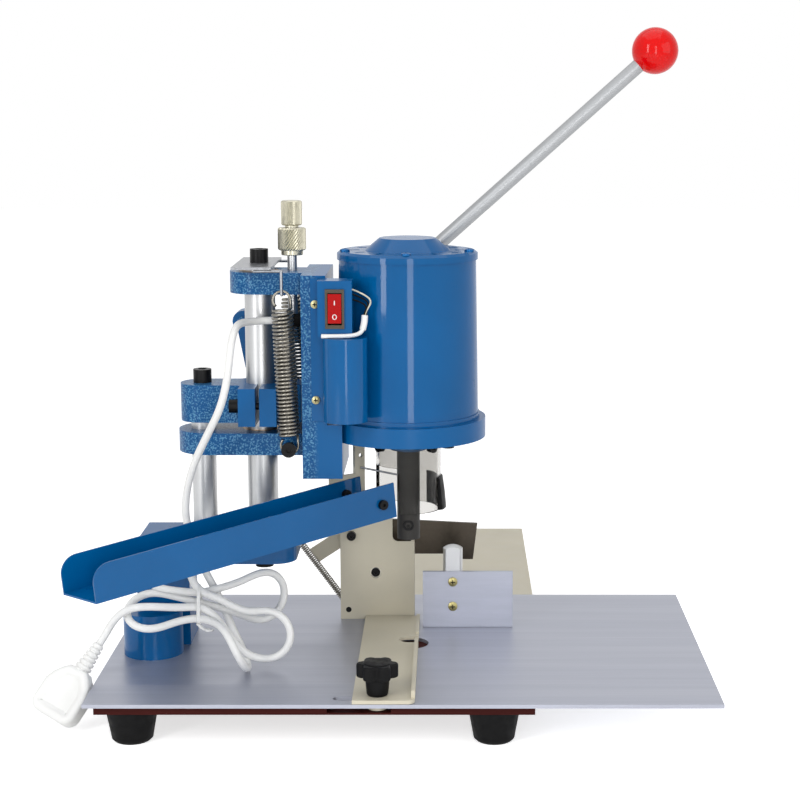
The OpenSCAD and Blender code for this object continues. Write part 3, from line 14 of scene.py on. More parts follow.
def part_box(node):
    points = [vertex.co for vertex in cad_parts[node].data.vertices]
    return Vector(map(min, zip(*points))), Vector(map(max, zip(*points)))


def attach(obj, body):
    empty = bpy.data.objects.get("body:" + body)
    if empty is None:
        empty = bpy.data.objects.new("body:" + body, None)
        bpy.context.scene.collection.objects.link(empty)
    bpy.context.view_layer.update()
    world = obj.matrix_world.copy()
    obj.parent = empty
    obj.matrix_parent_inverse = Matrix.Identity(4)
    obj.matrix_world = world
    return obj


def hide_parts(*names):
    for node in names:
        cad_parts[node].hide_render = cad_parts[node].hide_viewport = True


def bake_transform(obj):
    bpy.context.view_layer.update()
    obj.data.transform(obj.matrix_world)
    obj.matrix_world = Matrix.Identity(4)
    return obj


bl_info = {
    "name": "Paper drill dressing",
    "version": (1, 0, 0),
    "blender": (4, 5, 0),
    "location": "View3D > Sidebar > Paper drill",
    "description": "Finishes and small pieces for a desk-top electric paper drill",
    "category": "Object",
}

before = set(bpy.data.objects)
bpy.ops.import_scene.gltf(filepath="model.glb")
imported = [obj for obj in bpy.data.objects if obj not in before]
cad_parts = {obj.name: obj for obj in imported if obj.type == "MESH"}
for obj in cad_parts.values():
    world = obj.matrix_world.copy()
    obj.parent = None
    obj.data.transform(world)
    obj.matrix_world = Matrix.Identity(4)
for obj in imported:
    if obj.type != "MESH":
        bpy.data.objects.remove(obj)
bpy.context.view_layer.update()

# The drill axis on the table's top is the point that all places below are measured from
COLUMN_TO_DRILL = 0.121
column_low, column_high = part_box("main_column")
_, table_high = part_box("table_plate")
DRILL = Vector(
    (
        (column_low.x + column_high.x) / 2 + COLUMN_TO_DRILL,
        (column_low.y + column_high.y) / 2,
        table_high.z,
    )
)


def at(x, y, z):
    """A place in millimetres from the drill axis on the table's top, as a point in metres."""
    return DRILL + Vector((x, y, z)) / 1000


def hue(r, g, b):
    """An sRGB colour of 0 to 255 as linear values."""
    lin = [
        c / 12.92 if c <= 0.04045 else ((c + 0.055) / 1.055) ** 2.4
        for c in (r / 255, g / 255, b / 255)
    ]
    return (*lin, 1.0)


def middle_of(node):
    """The upright axis of a node's box, as X and Y."""
    low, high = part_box(node)
    return (low.x + high.x) / 2, (low.y + high.y) / 2


def colour_property(name, value):
    return FloatVectorProperty(
        name=name,
        description=f"Colour of {name.lower()}",
        subtype="COLOR",
        size=4,
        min=0,
        max=1,
        default=value,
    )


def power_property(name, description, value):
    return FloatProperty(name=name, description=description, subtype="POWER", default=value)


def length_property(name, description, value, low, high):
    return FloatProperty(
        name=name, description=description, subtype="DISTANCE", default=value, min=low, max=high
    )


class PaintSettings(bpy.types.PropertyGroup):
    """Colours of the machine's finishes."""

    casting_blue: colour_property("Hammered castings", hue(2, 76, 130))
    fleck_blue: colour_property("Light flecks of the hammered paint", hue(84, 140, 178))
    sheet_blue: colour_property("Blue sheet and motor", hue(0, 87, 145))
    cream: colour_property("Cream sheet", hue(206, 199, 178))
    table: colour_property("Brushed table", hue(172, 175, 187))
    steel: colour_property("Ground steel", hue(186, 187, 188))
    spring: colour_property("Spring wire", hue(140, 136, 127))
    dark_steel: colour_property("Blackened sheet", hue(70, 63, 54))
    tool_steel: colour_property("Spindle and chuck", hue(38, 36, 33))
    nickel: colour_property("Knurled nuts", hue(188, 184, 166))
    grey: colour_property("Plain steel", hue(150, 152, 156))
    lever: colour_property("Lever rod", hue(158, 160, 162))
    bronze: colour_property("Guide bushes", hue(176, 134, 72))
    zinc: colour_property("Yellow screws", hue(168, 158, 108))
    zinc_light: colour_property("Light grain of the yellow screws", hue(190, 182, 140))
    black: colour_property("Black rubber and plastic", hue(11, 11, 12))
    red: colour_property("Lever ball", hue(222, 3, 2))
    rocker: colour_property("Rocker", hue(168, 4, 5))
    white: colour_property("Cord and plug", hue(236, 236, 234))
    board: colour_property("Base board", hue(62, 24, 21))
    clear: colour_property("Clear guard", (0.62, 0.61, 0.59, 1))


class CordSettings(bpy.types.PropertyGroup):
    """Sizes of the mains cord."""

    diameter: length_property(
        "Diameter", "Outer diameter of the mains cord", 0.0062, 0.004, 0.009
    )
    sides: IntProperty(
        name="Sides", description="Sides of the cord's tube", default=16, min=8, max=32
    )


class SpringSettings(bpy.types.PropertyGroup):
    """Sizes of the return springs."""

    wire: length_property("Wire", "Diameter of the springs' wire", 0.00224, 0.001, 0.004)
    coil: length_property("Coil", "Middle radius of the springs' coils", 0.0079, 0.005, 0.01)
    curls: IntProperty(
        name="Curls", description="Turns of each return spring", default=34, min=8, max=60
    )


class StageSettings(bpy.types.PropertyGroup):
    """Light and floor of the studio."""

    floor: colour_property("Floor", (0.9, 0.9, 0.9, 1))
    key: power_property("Key lamp", "Power of the left front lamp", 9)
    fill: power_property("Fill lamp", "Power of the right lamp", 5)
    top: power_property("Top lamp", "Power of the overhead lamp", 5)
    front: power_property("Front lamp", "Power of the low lamp before the table", 6)
    world: FloatProperty(
        name="Ambient",
        description="Strength of the light from all round",
        default=0.42,
        min=0,
        max=2,
    )


def paint():
    return bpy.context.scene.drill_paint


def cord_sizes():
    return bpy.context.scene.drill_cord


def spring_sizes():
    return bpy.context.scene.drill_spring


def stage_sizes():
    return bpy.context.scene.drill_stage


# Finishes


def map_range(tree, value, start=0, end=1, low=0, high=1):
    """A value carried over from one span to another."""
    span = tree.nodes.new("ShaderNodeMapRange")
    numbers = {"From Min": start, "From Max": end, "To Min": low, "To Max": high}
    for key, number in numbers.items():
        span.inputs[key].default_value = number
    tree.links.new(value, span.inputs["Value"])
    return span.outputs["Result"]


class Finish:
    """A node material with a surface shader and a few helpers to wire it."""

    def __init__(self, name, colour, metallic=0.0, roughness=0.4, **sockets):
        self.material = bpy.data.materials.new(name)
        self.material.use_nodes = True
        self.material.diffuse_color = colour
        self.tree = self.material.node_tree
        self.shader = self.tree.nodes["Principled BSDF"]
        self.colour = colour
        self.place = self.tree.nodes.new("ShaderNodeTexCoord").outputs["Object"]
        self.set("Base Color", colour)
        self.set("Metallic", metallic)
        self.set("Roughness", roughness)
        for key, value in sockets.items():
            self.set(key.replace("_", " "), value)
        self.bump_out = None

    def set(self, socket, value):
        self.shader.inputs[socket].default_value = value

    def feed(self, socket, value):
        self.link(value, self.shader.inputs[socket])

    def node(self, kind, **values):
        made = self.tree.nodes.new(kind)
        for key, value in values.items():
            setattr(made, key, value)
        return made

    def link(self, a, b):
        self.tree.links.new(a, b)

    def scaled(self, x, y, z, turn=(0, 0, 0)):
        """Object coordinates stretched along each axis."""
        mapping = self.node("ShaderNodeMapping")
        mapping.inputs["Scale"].default_value = (x, y, z)
        mapping.inputs["Rotation"].default_value = turn
        self.link(self.place, mapping.inputs["Vector"])
        return mapping.outputs["Vector"]

    def noise(self, scale=1.0, detail=3.0, rough=0.55, vector=None):
        tex = self.node("ShaderNodeTexNoise")
        tex.inputs["Scale"].default_value = scale
        tex.inputs["Detail"].default_value = detail
        tex.inputs["Roughness"].default_value = rough
        self.link(vector or self.place, tex.inputs["Vector"])
        return tex.outputs["Fac"]

    def cells(self, scale, smooth):
        tex = self.node("ShaderNodeTexVoronoi", feature="SMOOTH_F1")
        tex.inputs["Scale"].default_value = scale
        tex.inputs["Smoothness"].default_value = smooth
        self.link(self.place, tex.inputs["Vector"])
        return tex.outputs["Distance"]

    def ramp(self, value, stops):
        """A colour that goes from the first of two stops to the second."""
        ramp = self.node("ShaderNodeValToRGB")
        for point, (where, colour) in zip(ramp.color_ramp.elements, stops):
            point.position = where
            point.color = colour
        self.link(value, ramp.inputs["Fac"])
        return ramp.outputs["Color"]

    def shades(self, value, dark, light, low=0.3, high=0.7):
        """The base colour varied between two brightnesses by a pattern."""

        def times(k):
            return (*[min(1, c * k) for c in self.colour[:3]], 1)

        stops = [(low, times(dark)), (high, times(light))]
        self.feed("Base Color", self.ramp(value, stops))

    def gloss(self, value, low, high, start=0.3, end=0.7):
        """Roughness that follows a pattern."""
        self.feed("Roughness", map_range(self.tree, value, start, end, low, high))

    def blend(self, a, b, share):
        """Two patterns added, the second by a share."""
        add = self.node("ShaderNodeMath", operation="MULTIPLY_ADD")
        self.link(b, add.inputs[0])
        add.inputs[1].default_value = share
        self.link(a, add.inputs[2])
        less = self.node("ShaderNodeMath", operation="SUBTRACT")
        self.link(add.outputs[0], less.inputs[0])
        less.inputs[1].default_value = share / 2
        return less.outputs[0]

    def beyond(self, place, axis="X"):
        """One on the far side of a place along an axis, nought before it."""
        soft = 0.002
        parts = self.node("ShaderNodeSeparateXYZ")
        self.link(self.place, parts.inputs[0])
        return map_range(self.tree, parts.outputs[axis], place - soft, place + soft)

    def mixed(self, share, colour, other):
        """One colour turned into another by a share."""
        mix = self.node("ShaderNodeMix", data_type="RGBA")
        first, second, result = mix.inputs[6], mix.inputs[7], mix.outputs[2]
        self.link(share, mix.inputs["Factor"])
        self.link(colour, first)
        second.default_value = other
        return result

    def faded(self, share, value):
        """A pattern that fades to nothing as a share grows to one."""
        times = self.node("ShaderNodeMath", operation="MULTIPLY")
        self.link(value, times.inputs[0])
        self.link(map_range(self.tree, share, low=1, high=0), times.inputs[1])
        return times.outputs[0]

    def bump(self, value, strength, depth):
        made = self.node("ShaderNodeBump")
        made.inputs["Strength"].default_value = strength
        made.inputs["Distance"].default_value = depth
        self.link(value, made.inputs["Height"])
        if self.bump_out:
            self.link(self.bump_out, made.inputs["Normal"])
        self.bump_out = made.outputs["Normal"]
        self.feed("Normal", self.bump_out)


def hammered_blue(name="hammered_blue", plain_from=None):
    """Hammer-tone enamel: shallow dents with light flecks, left plain beyond a place in X."""
    f = Finish(
        name,
        paint().casting_blue,
        roughness=0.34,
        Specular_IOR_Level=0.16,
        Coat_Weight=0.12,
        Coat_Roughness=0.12,
    )
    dents = f.cells(scale=420, smooth=0.75)
    flecks = f.noise(scale=680, detail=2, rough=0.5)
    patches = f.noise(scale=40, detail=2)
    worn = f.blend(flecks, patches, share=0.22)
    colour = f.ramp(worn, [(0.5, paint().casting_blue), (0.63, paint().fleck_blue)])
    if plain_from is not None:
        plain = f.beyond(plain_from)
        colour = f.mixed(plain, colour, paint().sheet_blue)
        dents = f.faded(plain, dents)
    f.feed("Base Color", colour)
    f.bump(dents, strength=0.32, depth=0.0009)
    f.bump(f.noise(scale=900), strength=0.06, depth=0.0004)
    return f.material


def sheet_blue():
    """Smooth blue enamel with a faint orange peel."""
    f = Finish(
        "sheet_blue",
        paint().sheet_blue,
        roughness=0.3,
        Specular_IOR_Level=0.02,
        Coat_Weight=0.44,
        Coat_Roughness=0.05,
    )
    f.shades(f.noise(scale=14, detail=4), dark=0.93, light=1.06)
    f.gloss(f.noise(scale=60, detail=4), low=0.26, high=0.36)
    f.bump(f.noise(scale=520, detail=2), strength=0.06, depth=0.0005)
    return f.material


def cream_enamel():
    f = Finish("cream_enamel", paint().cream, roughness=0.42)
    f.shades(f.noise(scale=20, detail=4), dark=0.95, light=1.04)
    f.gloss(f.noise(scale=80, detail=3), low=0.36, high=0.5)
    f.bump(f.noise(scale=600, detail=2), strength=0.08, depth=0.0004)
    return f.material


def brushed_table():
    """Aluminium sheet brushed from left to right."""
    f = Finish("brushed_table", paint().table, metallic=0.6, roughness=0.38)
    fine = f.noise(detail=6, rough=0.7, vector=f.scaled(7, 1500, 60))
    broad = f.noise(detail=3, vector=f.scaled(1.6, 60, 20))
    f.shades(fine, dark=0.86, light=1.08, low=0.25, high=0.75)
    f.gloss(broad, low=0.3, high=0.44)
    f.bump(fine, strength=0.12, depth=0.0003)
    return f.material


def ground_column():
    """Ground rod: fine rings across the rod's length along Z."""
    f = Finish("ground_column", paint().steel, metallic=0.9, roughness=0.26)
    rings = f.noise(detail=2, rough=0.5, vector=f.scaled(3, 3, 420))
    f.shades(rings, dark=0.985, light=1.01)
    f.gloss(rings, low=0.33, high=0.35)
    return f.material


def plain_steel(name, colour, metallic=1.0, smooth=0.25, rough=0.42):
    """Turned or rolled steel with an even fine grain between two roughnesses."""
    f = Finish(name, colour, metallic=metallic, roughness=0.32)
    grain = f.noise(scale=260, detail=5, rough=0.6)
    f.shades(grain, dark=0.85, light=1.08)
    f.gloss(grain, low=smooth, high=rough)
    f.bump(f.noise(scale=1040, detail=2), strength=0.06, depth=0.0003)
    return f.material


def lever_steel():
    """Ground lever rod, its rings across the slanted length."""
    slope = (0, math.radians(41.7), 0)
    f = Finish("lever_steel", paint().lever, metallic=0.8, roughness=0.44)
    rings = f.noise(detail=2, rough=0.5, vector=f.scaled(380, 3, 3, slope))
    f.gloss(rings, low=0.43, high=0.46)
    return f.material


def matte_black(name, rough):
    f = Finish(name, paint().black, roughness=rough, Specular_IOR_Level=0.12)
    f.shades(f.noise(scale=90, detail=4), dark=0.8, light=1.3)
    f.gloss(f.noise(scale=160, detail=3), low=rough - 0.1, high=rough + 0.12)
    f.bump(f.noise(scale=1400, detail=2), strength=0.15, depth=0.0003)
    return f.material


def panel_screws():
    """Zinc screws of the panel; those on the motor's cap are painted over."""
    f = Finish("panel_screws", paint().zinc, metallic=0.6, roughness=0.34)
    grain = f.noise(scale=260, detail=4)
    colour = f.ramp(grain, [(0.3, paint().zinc), (0.7, paint().zinc_light)])
    above_panel = f.beyond(at(0, 0, 318).z, "Z")
    colour = f.mixed(above_panel, colour, paint().sheet_blue)
    f.feed("Base Color", colour)
    f.gloss(grain, low=0.26, high=0.42)
    return f.material


def black_oxide():
    f = Finish("black_oxide", paint().black, metallic=0.7, roughness=0.38)
    grain = f.noise(scale=320, detail=4)
    f.shades(grain, dark=0.7, light=1.5)
    f.gloss(grain, low=0.3, high=0.48)
    f.bump(grain, strength=0.06, depth=0.0003)
    return f.material


def gloss_red(name, colour):
    f = Finish(
        name,
        colour,
        roughness=0.16,
        Specular_IOR_Level=0.04,
        Coat_Weight=0.34,
        Coat_Roughness=0.06,
    )
    f.shades(f.noise(scale=60, detail=3), dark=0.96, light=1.03)
    f.gloss(f.noise(scale=120, detail=3), low=0.13, high=0.2)
    f.bump(f.noise(scale=240, detail=2), strength=0.02, depth=0.0003)
    return f.material


def soft_white(name, rough):
    f = Finish(name, paint().white, roughness=rough)
    f.shades(f.noise(scale=40, detail=4), dark=0.96, light=1.02)
    f.gloss(f.noise(scale=200, detail=3), low=rough - 0.06, high=rough + 0.08)
    f.bump(f.noise(scale=900, detail=2), strength=0.05, depth=0.0003)
    return f.material


def clear_acrylic():
    f = Finish("clear_acrylic", paint().clear, roughness=0.1, Transmission_Weight=1.0, IOR=1.22)
    scuffs = f.noise(detail=5, rough=0.65, vector=f.scaled(40, 40, 260))
    f.gloss(scuffs, low=0.06, high=0.2, start=0.45, end=0.8)
    f.bump(scuffs, strength=0.03, depth=0.0003)
    return f.material


def stained_board():
    f = Finish("stained_board", paint().board, roughness=0.5, Specular_IOR_Level=0.06)
    grain = f.noise(detail=5, rough=0.6, vector=f.scaled(6, 160, 160))
    f.shades(grain, dark=0.7, light=1.25)
    f.gloss(grain, low=0.42, high=0.6)
    f.bump(grain, strength=0.1, depth=0.0004)
    return f.material


FINISHES = {}
# The castings are hammered up to these places in X and plain beyond them
HEAD_PLAIN, CLAMP_PLAIN = -73, -138


def finish(name):
    """Each finish is made once, the first time that a piece asks for it."""
    if name not in FINISHES:
        colours = paint()
        makers = {
            "hammered": hammered_blue,
            "head": lambda: hammered_blue("head_blue", at(HEAD_PLAIN, 0, 0).x),
            "clamp": lambda: hammered_blue("clamp_blue", at(CLAMP_PLAIN, 0, 0).x),
            "sheet": sheet_blue,
            "cream": cream_enamel,
            "table": brushed_table,
            "column": ground_column,
            "lever": lever_steel,
            "spring": lambda: plain_steel("spring_wire", colours.spring, 0.9, 0.22, 0.36),
            "grey": lambda: plain_steel("grey_steel", colours.grey),
            "dark": lambda: plain_steel("blackened_steel", colours.dark_steel, 0.75, 0.28, 0.46),
            "tool": lambda: plain_steel("tool_steel", colours.tool_steel, 0.25, 0.52, 0.64),
            "nickel": lambda: plain_steel("nickel", colours.nickel, 0.9, 0.26, 0.4),
            "zinc": lambda: plain_steel("yellow_zinc", colours.zinc, 0.9),
            "bronze": lambda: plain_steel("bronze", colours.bronze, 0.95),
            "screw": panel_screws,
            "oxide": black_oxide,
            "rubber": lambda: matte_black("black_rubber", 0.62),
            "plastic": lambda: matte_black("black_plastic", 0.45),
            "red": lambda: gloss_red("gloss_red", colours.red),
            "rocker": lambda: gloss_red("rocker_red", colours.rocker),
            "white": lambda: soft_white("soft_white", 0.42),
            "mark": lambda: soft_white("rocker_marks", 0.5),
            "clear": clear_acrylic,
            "board": stained_board,
        }
        FINISHES[name] = makers[name]()
    return FINISHES[name]


NODE_FINISHES = {
    "table": ("table_plate", "back_stop"),
    "board": ("base_board",),
    "cream": ("rear_plate", "support_post", "brace_arm", "chip_bracket", "side_gauge"),
    "rubber": ("rubber_feet", "cord_gland"),
    "hammered": ("lever_arm",),
    "clamp": ("clamp_block",),
    "head": ("head_casting",),
    "column": ("main_column", "guide_column", "depth_rod", "stop_post", "bearings"),
    "oxide": ("cap_screws", "socket_screws", "spring_screws", "black_screws"),
    "grey": (
        "spring_plate",
        "link_pin",
        "lever_pin",
        "stator",
        "rotor",
        "chip_finger",
        "plug_blades",
    ),
    "spring": ("brace_spring", "return_springs"),
    "dark": ("rear_shield", "switch_bezel"),
    "tool": ("spindle", "drill_chuck"),
    "sheet": (
        "pedestal",
        "lower_block",
        "link",
        "motor_shell",
        "motor_cap",
        "chip_chute",
        "control_panel",
        "switch_box",
        "capacitor_cover",
    ),
    "screw": ("pan_screws",),
    "zinc": ("stop_screws",),
    "bronze": ("guide_bushes",),
    "clear": ("guard_tube",),
    "plastic": ("guard_strip", "star_knob"),
    "red": ("lever_ball",),
    "rocker": ("rocker",),
    "white": ("capacitor", "cord_lead", "cord_hank", "cord_tail", "plug_body"),
    "nickel": ("depth_knob", "lock_nut"),
    "lever": ("lever_rod",),
}


# Mesh helpers


def piece(name, bm, material, body=None, smooth=True):
    """Turns a bmesh into a finished object that rides on a body."""
    bmesh.ops.recalc_face_normals(bm, faces=bm.faces)
    mesh = bpy.data.meshes.new(name)
    bm.to_mesh(mesh)
    bm.free()
    mesh.polygons.foreach_set("use_smooth", [smooth] * len(mesh.polygons))
    obj = bpy.data.objects.new(name, mesh)
    bpy.context.scene.collection.objects.link(obj)
    mesh.materials.append(material)
    if body:
        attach(obj, body)
    return obj


def round_edges(bm, edges, width, segments):
    bmesh.ops.bevel(
        bm,
        geom=edges,
        offset=width,
        offset_type="OFFSET",
        segments=segments,
        profile=0.5,
        affect="EDGES",
        clamp_overlap=True,
        material=-1,
    )


def draw_out(bm, face, way):
    """Draws a face out into a solid and gives the points of its far end."""
    made = bmesh.ops.extrude_face_region(bm, geom=[face])["geom"]
    far = [g for g in made if isinstance(g, bmesh.types.BMVert)]
    bmesh.ops.translate(bm, verts=far, vec=way)
    return far


def placed(points):
    """Places in millimetres from the drill axis, as points in metres."""
    return [at(*p) for p in points]


def smooth_route(points, step, rounds):
    """A smooth line of even steps through places in millimetres, as points in metres."""
    line = curve_through([Vector(p) for p in points])
    return placed(eased(evenly(line, step), rounds))


def curve_through(points, per=10):
    """Points along a smooth curve through the given ones, paced by the root of each span."""
    line = []
    last = len(points) - 1
    for i in range(last):
        a, b = points[i], points[i + 1]
        before = points[i - 1] if i else 2 * a - b
        after = points[i + 2] if i + 2 <= last else 2 * b - a
        knots = [0.0]
        for start, end in ((before, a), (a, b), (b, after)):
            knots.append(knots[-1] + max((end - start).length, 1e-9) ** 0.5)
        for k in range(per):
            t = knots[1] + (knots[2] - knots[1]) * k / per
            line.append(on_span((before, a, b, after), knots, t))
    return [*line, points[last]]


def on_span(points, knots, t):
    """One point of a curve by repeated blending between four points."""
    row = list(points)
    for reach in (1, 2):
        row = [
            (row[i] * (knots[i + reach] - t) + row[i + 1] * (t - knots[i]))
            / (knots[i + reach] - knots[i])
            for i in range(len(row) - 1)
        ]
    a, b = row
    return (a * (knots[2] - t) + b * (t - knots[1])) / (knots[2] - knots[1])


def evenly(points, step):
    """The same line with points an equal step apart."""
    run = [0.0]
    for a, b in zip(points, points[1:]):
        run.append(run[-1] + (b - a).length)
    count = round(run[-1] / step)
    line, i = [], 0
    for k in range(count):
        want = run[-1] * k / count
        while run[i + 1] < want:
            i += 1
        line.append(points[i].lerp(points[i + 1], (want - run[i]) / (run[i + 1] - run[i])))
    return [*line, points[-1]]


def eased(points, rounds):
    """The line with its small wrinkles taken out."""
    for _ in range(rounds):
        middle = [(a + 2 * b + c) / 4 for a, b, c in zip(points, points[1:], points[2:])]
        points = [points[0], *middle, points[-1]]
    return points


def tube(bm, route, radius, sides):
    """Sweeps a ring of a tube along a route, carrying it without twist."""
    last = len(route) - 1
    ahead = (route[1] - route[0]).normalized()
    turn = Vector((0, 0, 1)).rotation_difference(ahead).to_matrix().to_4x4()
    ring = bmesh.ops.create_circle(
        bm,
        segments=sides,
        radius=radius,
        cap_ends=True,
        matrix=Matrix.Translation(route[0]) @ turn,
    )["verts"]
    edges = list({e for v in ring for e in v.link_edges if all(w in ring for w in e.verts)})
    for i in range(1, last + 1):
        heading = (route[min(i + 1, last)] - route[i - 1]).normalized()
        made = bmesh.ops.extrude_edge_only(bm, edges=edges)["geom"]
        verts = [g for g in made if isinstance(g, bmesh.types.BMVert)]
        edges = [g for g in made if isinstance(g, bmesh.types.BMEdge)]
        edges = [e for e in edges if all(w in verts for w in e.verts)]
        spin = ahead.rotation_difference(heading).to_matrix()
        for v in verts:
            v.co = route[i] + spin @ (v.co - route[i - 1])
        ahead = heading
    bmesh.ops.contextual_create(bm, geom=edges)
    return bm


def lathe(bm, profile, steps=48):
    """Spins a profile of (radius, height) about the Z axis."""
    verts = [bm.verts.new((r, 0, z)) for r, z in profile]
    edges = [bm.edges.new(pair) for pair in zip(verts, verts[1:])]
    bmesh.ops.spin(
        bm,
        geom=[*verts, *edges],
        cent=(0, 0, 0),
        axis=(0, 0, 1),
        angle=2 * math.pi,
        steps=steps,
        use_merge=True,
    )
    bmesh.ops.remove_doubles(bm, verts=bm.verts, dist=1e-7)


# Cord


LEAD = (
    (-101, -22, 278),
    (-106.5, -22, 278),
    (-118.8, -24.9, 278),
    (-128.1, -32.8, 278),
    (-133.1, -44.3, 278),
    (-135.2, -56.4, 275.1),
    (-136.8, -65.5, 267.2),
    (-137.9, -70.5, 255.7),
    (-140.5, -70.8, 236),
    (-147.2, -66, 213),
    (-158, -59.5, 191.5),
    (-170, -53.5, 167),
    (-177, -51, 144),
    (-178.6, -50.6, 122),
    (-173.8, -51.3, 103),
    (-166.5, -52.1, 84.2),
    (-163.6, -52.4, 76.8),
)
BIGHT_RADIUS, BIGHT_STEP = 20.4, 25
# Each bight has its centre, the way to its start, the way it bulges, its first and last angle
BIGHTS = (
    ((-136.2, -76.6, 22.2), (-0.1, 1, 0), (0.42, 0, -0.91), -18, 192),
    ((-204.5, -71, 49.5), (0, -0.87, -0.5), (-1, 0, 0), -25, 205),
    ((-118, -42.5, 53.5), (0, 0, -1), (0.81, 0.59, 0), -10, 195),
    ((-195, -63.5, 85), (0, 0.08, -1), (-1, 0.1, 0), 0, 270),
    ((-153, -71, 82), (-1, 0.06, 0), (0, -0.05, -1), 15, 90),
    ((-114, -64, 27.3), (0, 0.06, 1), (1, -0.03, 0), 5, 185),
)
# Strands that pass through the tie from bight to bight
STRANDS = (
    ((-158.5, -53, 67.5), (-150.5, -53.9, 51)),
    (
        (-142.5, -93, 38),
        (-149, -86, 42.6),
        (-158, -80, 44.3),
        (-168, -76.5, 45),
        (-183, -79, 43),
    ),
    (
        (-184, -57.5, 56.5),
        (-166.5, -63.5, 54),
        (-152, -63.2, 50),
        (-141.5, -60, 46),
        (-131.5, -52.5, 39.5),
    ),
    (
        (-135, -54.2, 69),
        (-146, -60, 66.5),
        (-157, -63, 64.3),
        (-166.5, -63.8, 62.2),
        (-180, -62.6, 63),
    ),
    (),
    ((-140, -70.5, 53.2), (-128, -66.8, 47.4)),
    (
        (-130, -68.6, 13),
        (-141, -74, 28),
        (-150, -75.5, 42),
        (-158.5, -74.3, 50.5),
        (-167, -73.6, 54),
        (-176.6, -75.6, 53.5),
    ),
)
PLUG_AT = Vector((-245, -86, 26))
PLUG_WAY = Vector((-0.504, -0.444, -0.741)).normalized()
PLUG_TURN = math.radians(-30)
TAIL = (
    (-182.5, -76.7, 53.9),
    (-192, -78.4, 54.6),
    (-202, -79.7, 55.4),
    (-211.5, -80.5, 55.5),
    (-220.5, -81.6, 54.6),
    (-229, -82, 49.6),
    (-235.6, -81.6, 41.6),
    tuple(PLUG_AT - 8 * PLUG_WAY),
    tuple(PLUG_AT),
)


def bight_points(centre, first, way, low, high):
    """Points of one bight of the hank."""
    first = Vector(first).normalized()
    way = Vector(way)
    way = (way - first * first.dot(way)).normalized()
    count = round((high - low) / BIGHT_STEP)
    angles = [math.radians(low + (high - low) * k / count) for k in range(count + 1)]
    return [
        Vector(centre) + BIGHT_RADIUS * (math.cos(t) * first + math.sin(t) * way)
        for t in angles
    ]


def cord_route():
    """The whole cord from the head's gland through the tied hank to the plug."""
    points = [*LEAD]
    for i, strand in enumerate(STRANDS):
        points += strand
        if i < len(BIGHTS):
            points += bight_points(*BIGHTS[i])
    points += TAIL
    return smooth_route(points, step=2.0, rounds=14)


class DRILL_OT_cord(bpy.types.Operator):
    """Mains cord with its hank, tie and plug"""

    bl_idname = "drill.cord"
    bl_label = "Mains cord"

    def execute(self, context):
        size = cord_sizes()
        route = cord_route()
        bm = tube(bmesh.new(), route, size.diameter / 2, size.sides)
        cord = piece("mains_cord", bm, finish("white"))
        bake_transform(cord)
        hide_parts("cord_lead", "cord_hank", "cord_tail")
        plug = make_plug()
        tie = make_tie()
        return {"FINISHED"}


def plug_matrix():
    """Frame of the plug: Z away from the cord, X the way of the pins, Y across its width."""
    turn = math.atan2(PLUG_WAY.y, PLUG_WAY.x)
    tilt = math.acos(PLUG_WAY.z)
    return (
        Matrix.Translation(at(*PLUG_AT))
        @ Matrix.Rotation(turn, 4, "Z")
        @ Matrix.Rotation(tilt, 4, "Y")
        @ Matrix.Rotation(PLUG_TURN, 4, "Z")
    )


# Ribs of the strain relief: how many, their pitch, how each outgrows the last, the first radius
RIBS, RIB_PITCH, RIB_GROWTH, RIB_BASE = 6, 0.0039, 0.00046, 0.0046
# Half the plug's thickness, its length, half its width, and the rounding of corners and edges
PLUG_HALF, PLUG_LONG, PLUG_WIDE, PLUG_CORNER, PLUG_EDGE = 0.0079, 0.0678, 0.0206, 0.009, 0.0034
# Shoulder of the plug from the strain relief to its full width, in Y and Z
PLUG_SHOULDER = ((0.008, 0.0242), (0.0125, 0.0285), (0.0178, 0.0352), (PLUG_WIDE, 0.0424))
# Steps of the grip recess in the plug's back: inset and depth
GRIP_RECESS = ((0.0028, 0), (0.0022, -0.0026), (0.0012, -0.0004))


def make_plug():
    """Broad flat plug with a grip recess in its back and a ribbed strain relief."""
    bm = bmesh.new()
    ribs = [(0.0, 0.0), (0.0037, 0.0)]
    for i in range(RIBS):
        z = 0.0006 + i * RIB_PITCH
        r = RIB_BASE + i * RIB_GROWTH
        ribs += [(r, z), (r, z + 0.0024), (r - 0.0012, z + 0.0027), (r - 0.001, z + 0.0037)]
    ribs += [(0.007, 0.0238), (0.007, 0.026), (0.0, 0.026)]
    lathe(bm, ribs, steps=40)
    right = [*PLUG_SHOULDER]
    for a in range(0, 91, 15):
        across, along = math.cos(math.radians(a)), math.sin(math.radians(a))
        y = PLUG_WIDE - PLUG_CORNER + PLUG_CORNER * across
        right.append((y, PLUG_LONG - PLUG_CORNER + PLUG_CORNER * along))
    outline = right + [(-y, z) for y, z in reversed(right)]
    near = [bm.verts.new((-PLUG_HALF, y, z)) for y, z in outline]
    far = draw_out(bm, bm.faces.new(near), (2 * PLUG_HALF, 0, 0))
    shell = {e for v in (*near, *far) for e in v.link_edges}
    rims = [e for e in shell if abs(e.verts[0].co.x - e.verts[1].co.x) < 1e-6]
    round_edges(bm, rims, PLUG_EDGE, segments=5)
    back = max(
        (f for f in bm.faces if f.calc_center_median().x < -PLUG_HALF + 1e-5),
        key=lambda f: f.calc_area(),
    )
    for inset, depth in GRIP_RECESS:
        bmesh.ops.inset_individual(bm, faces=[back], thickness=inset, depth=depth)
    bmesh.ops.transform(bm, matrix=plug_matrix(), verts=bm.verts)
    plug = piece("plug", bm, finish("white"), "base")
    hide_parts("plug_body")
    return plug


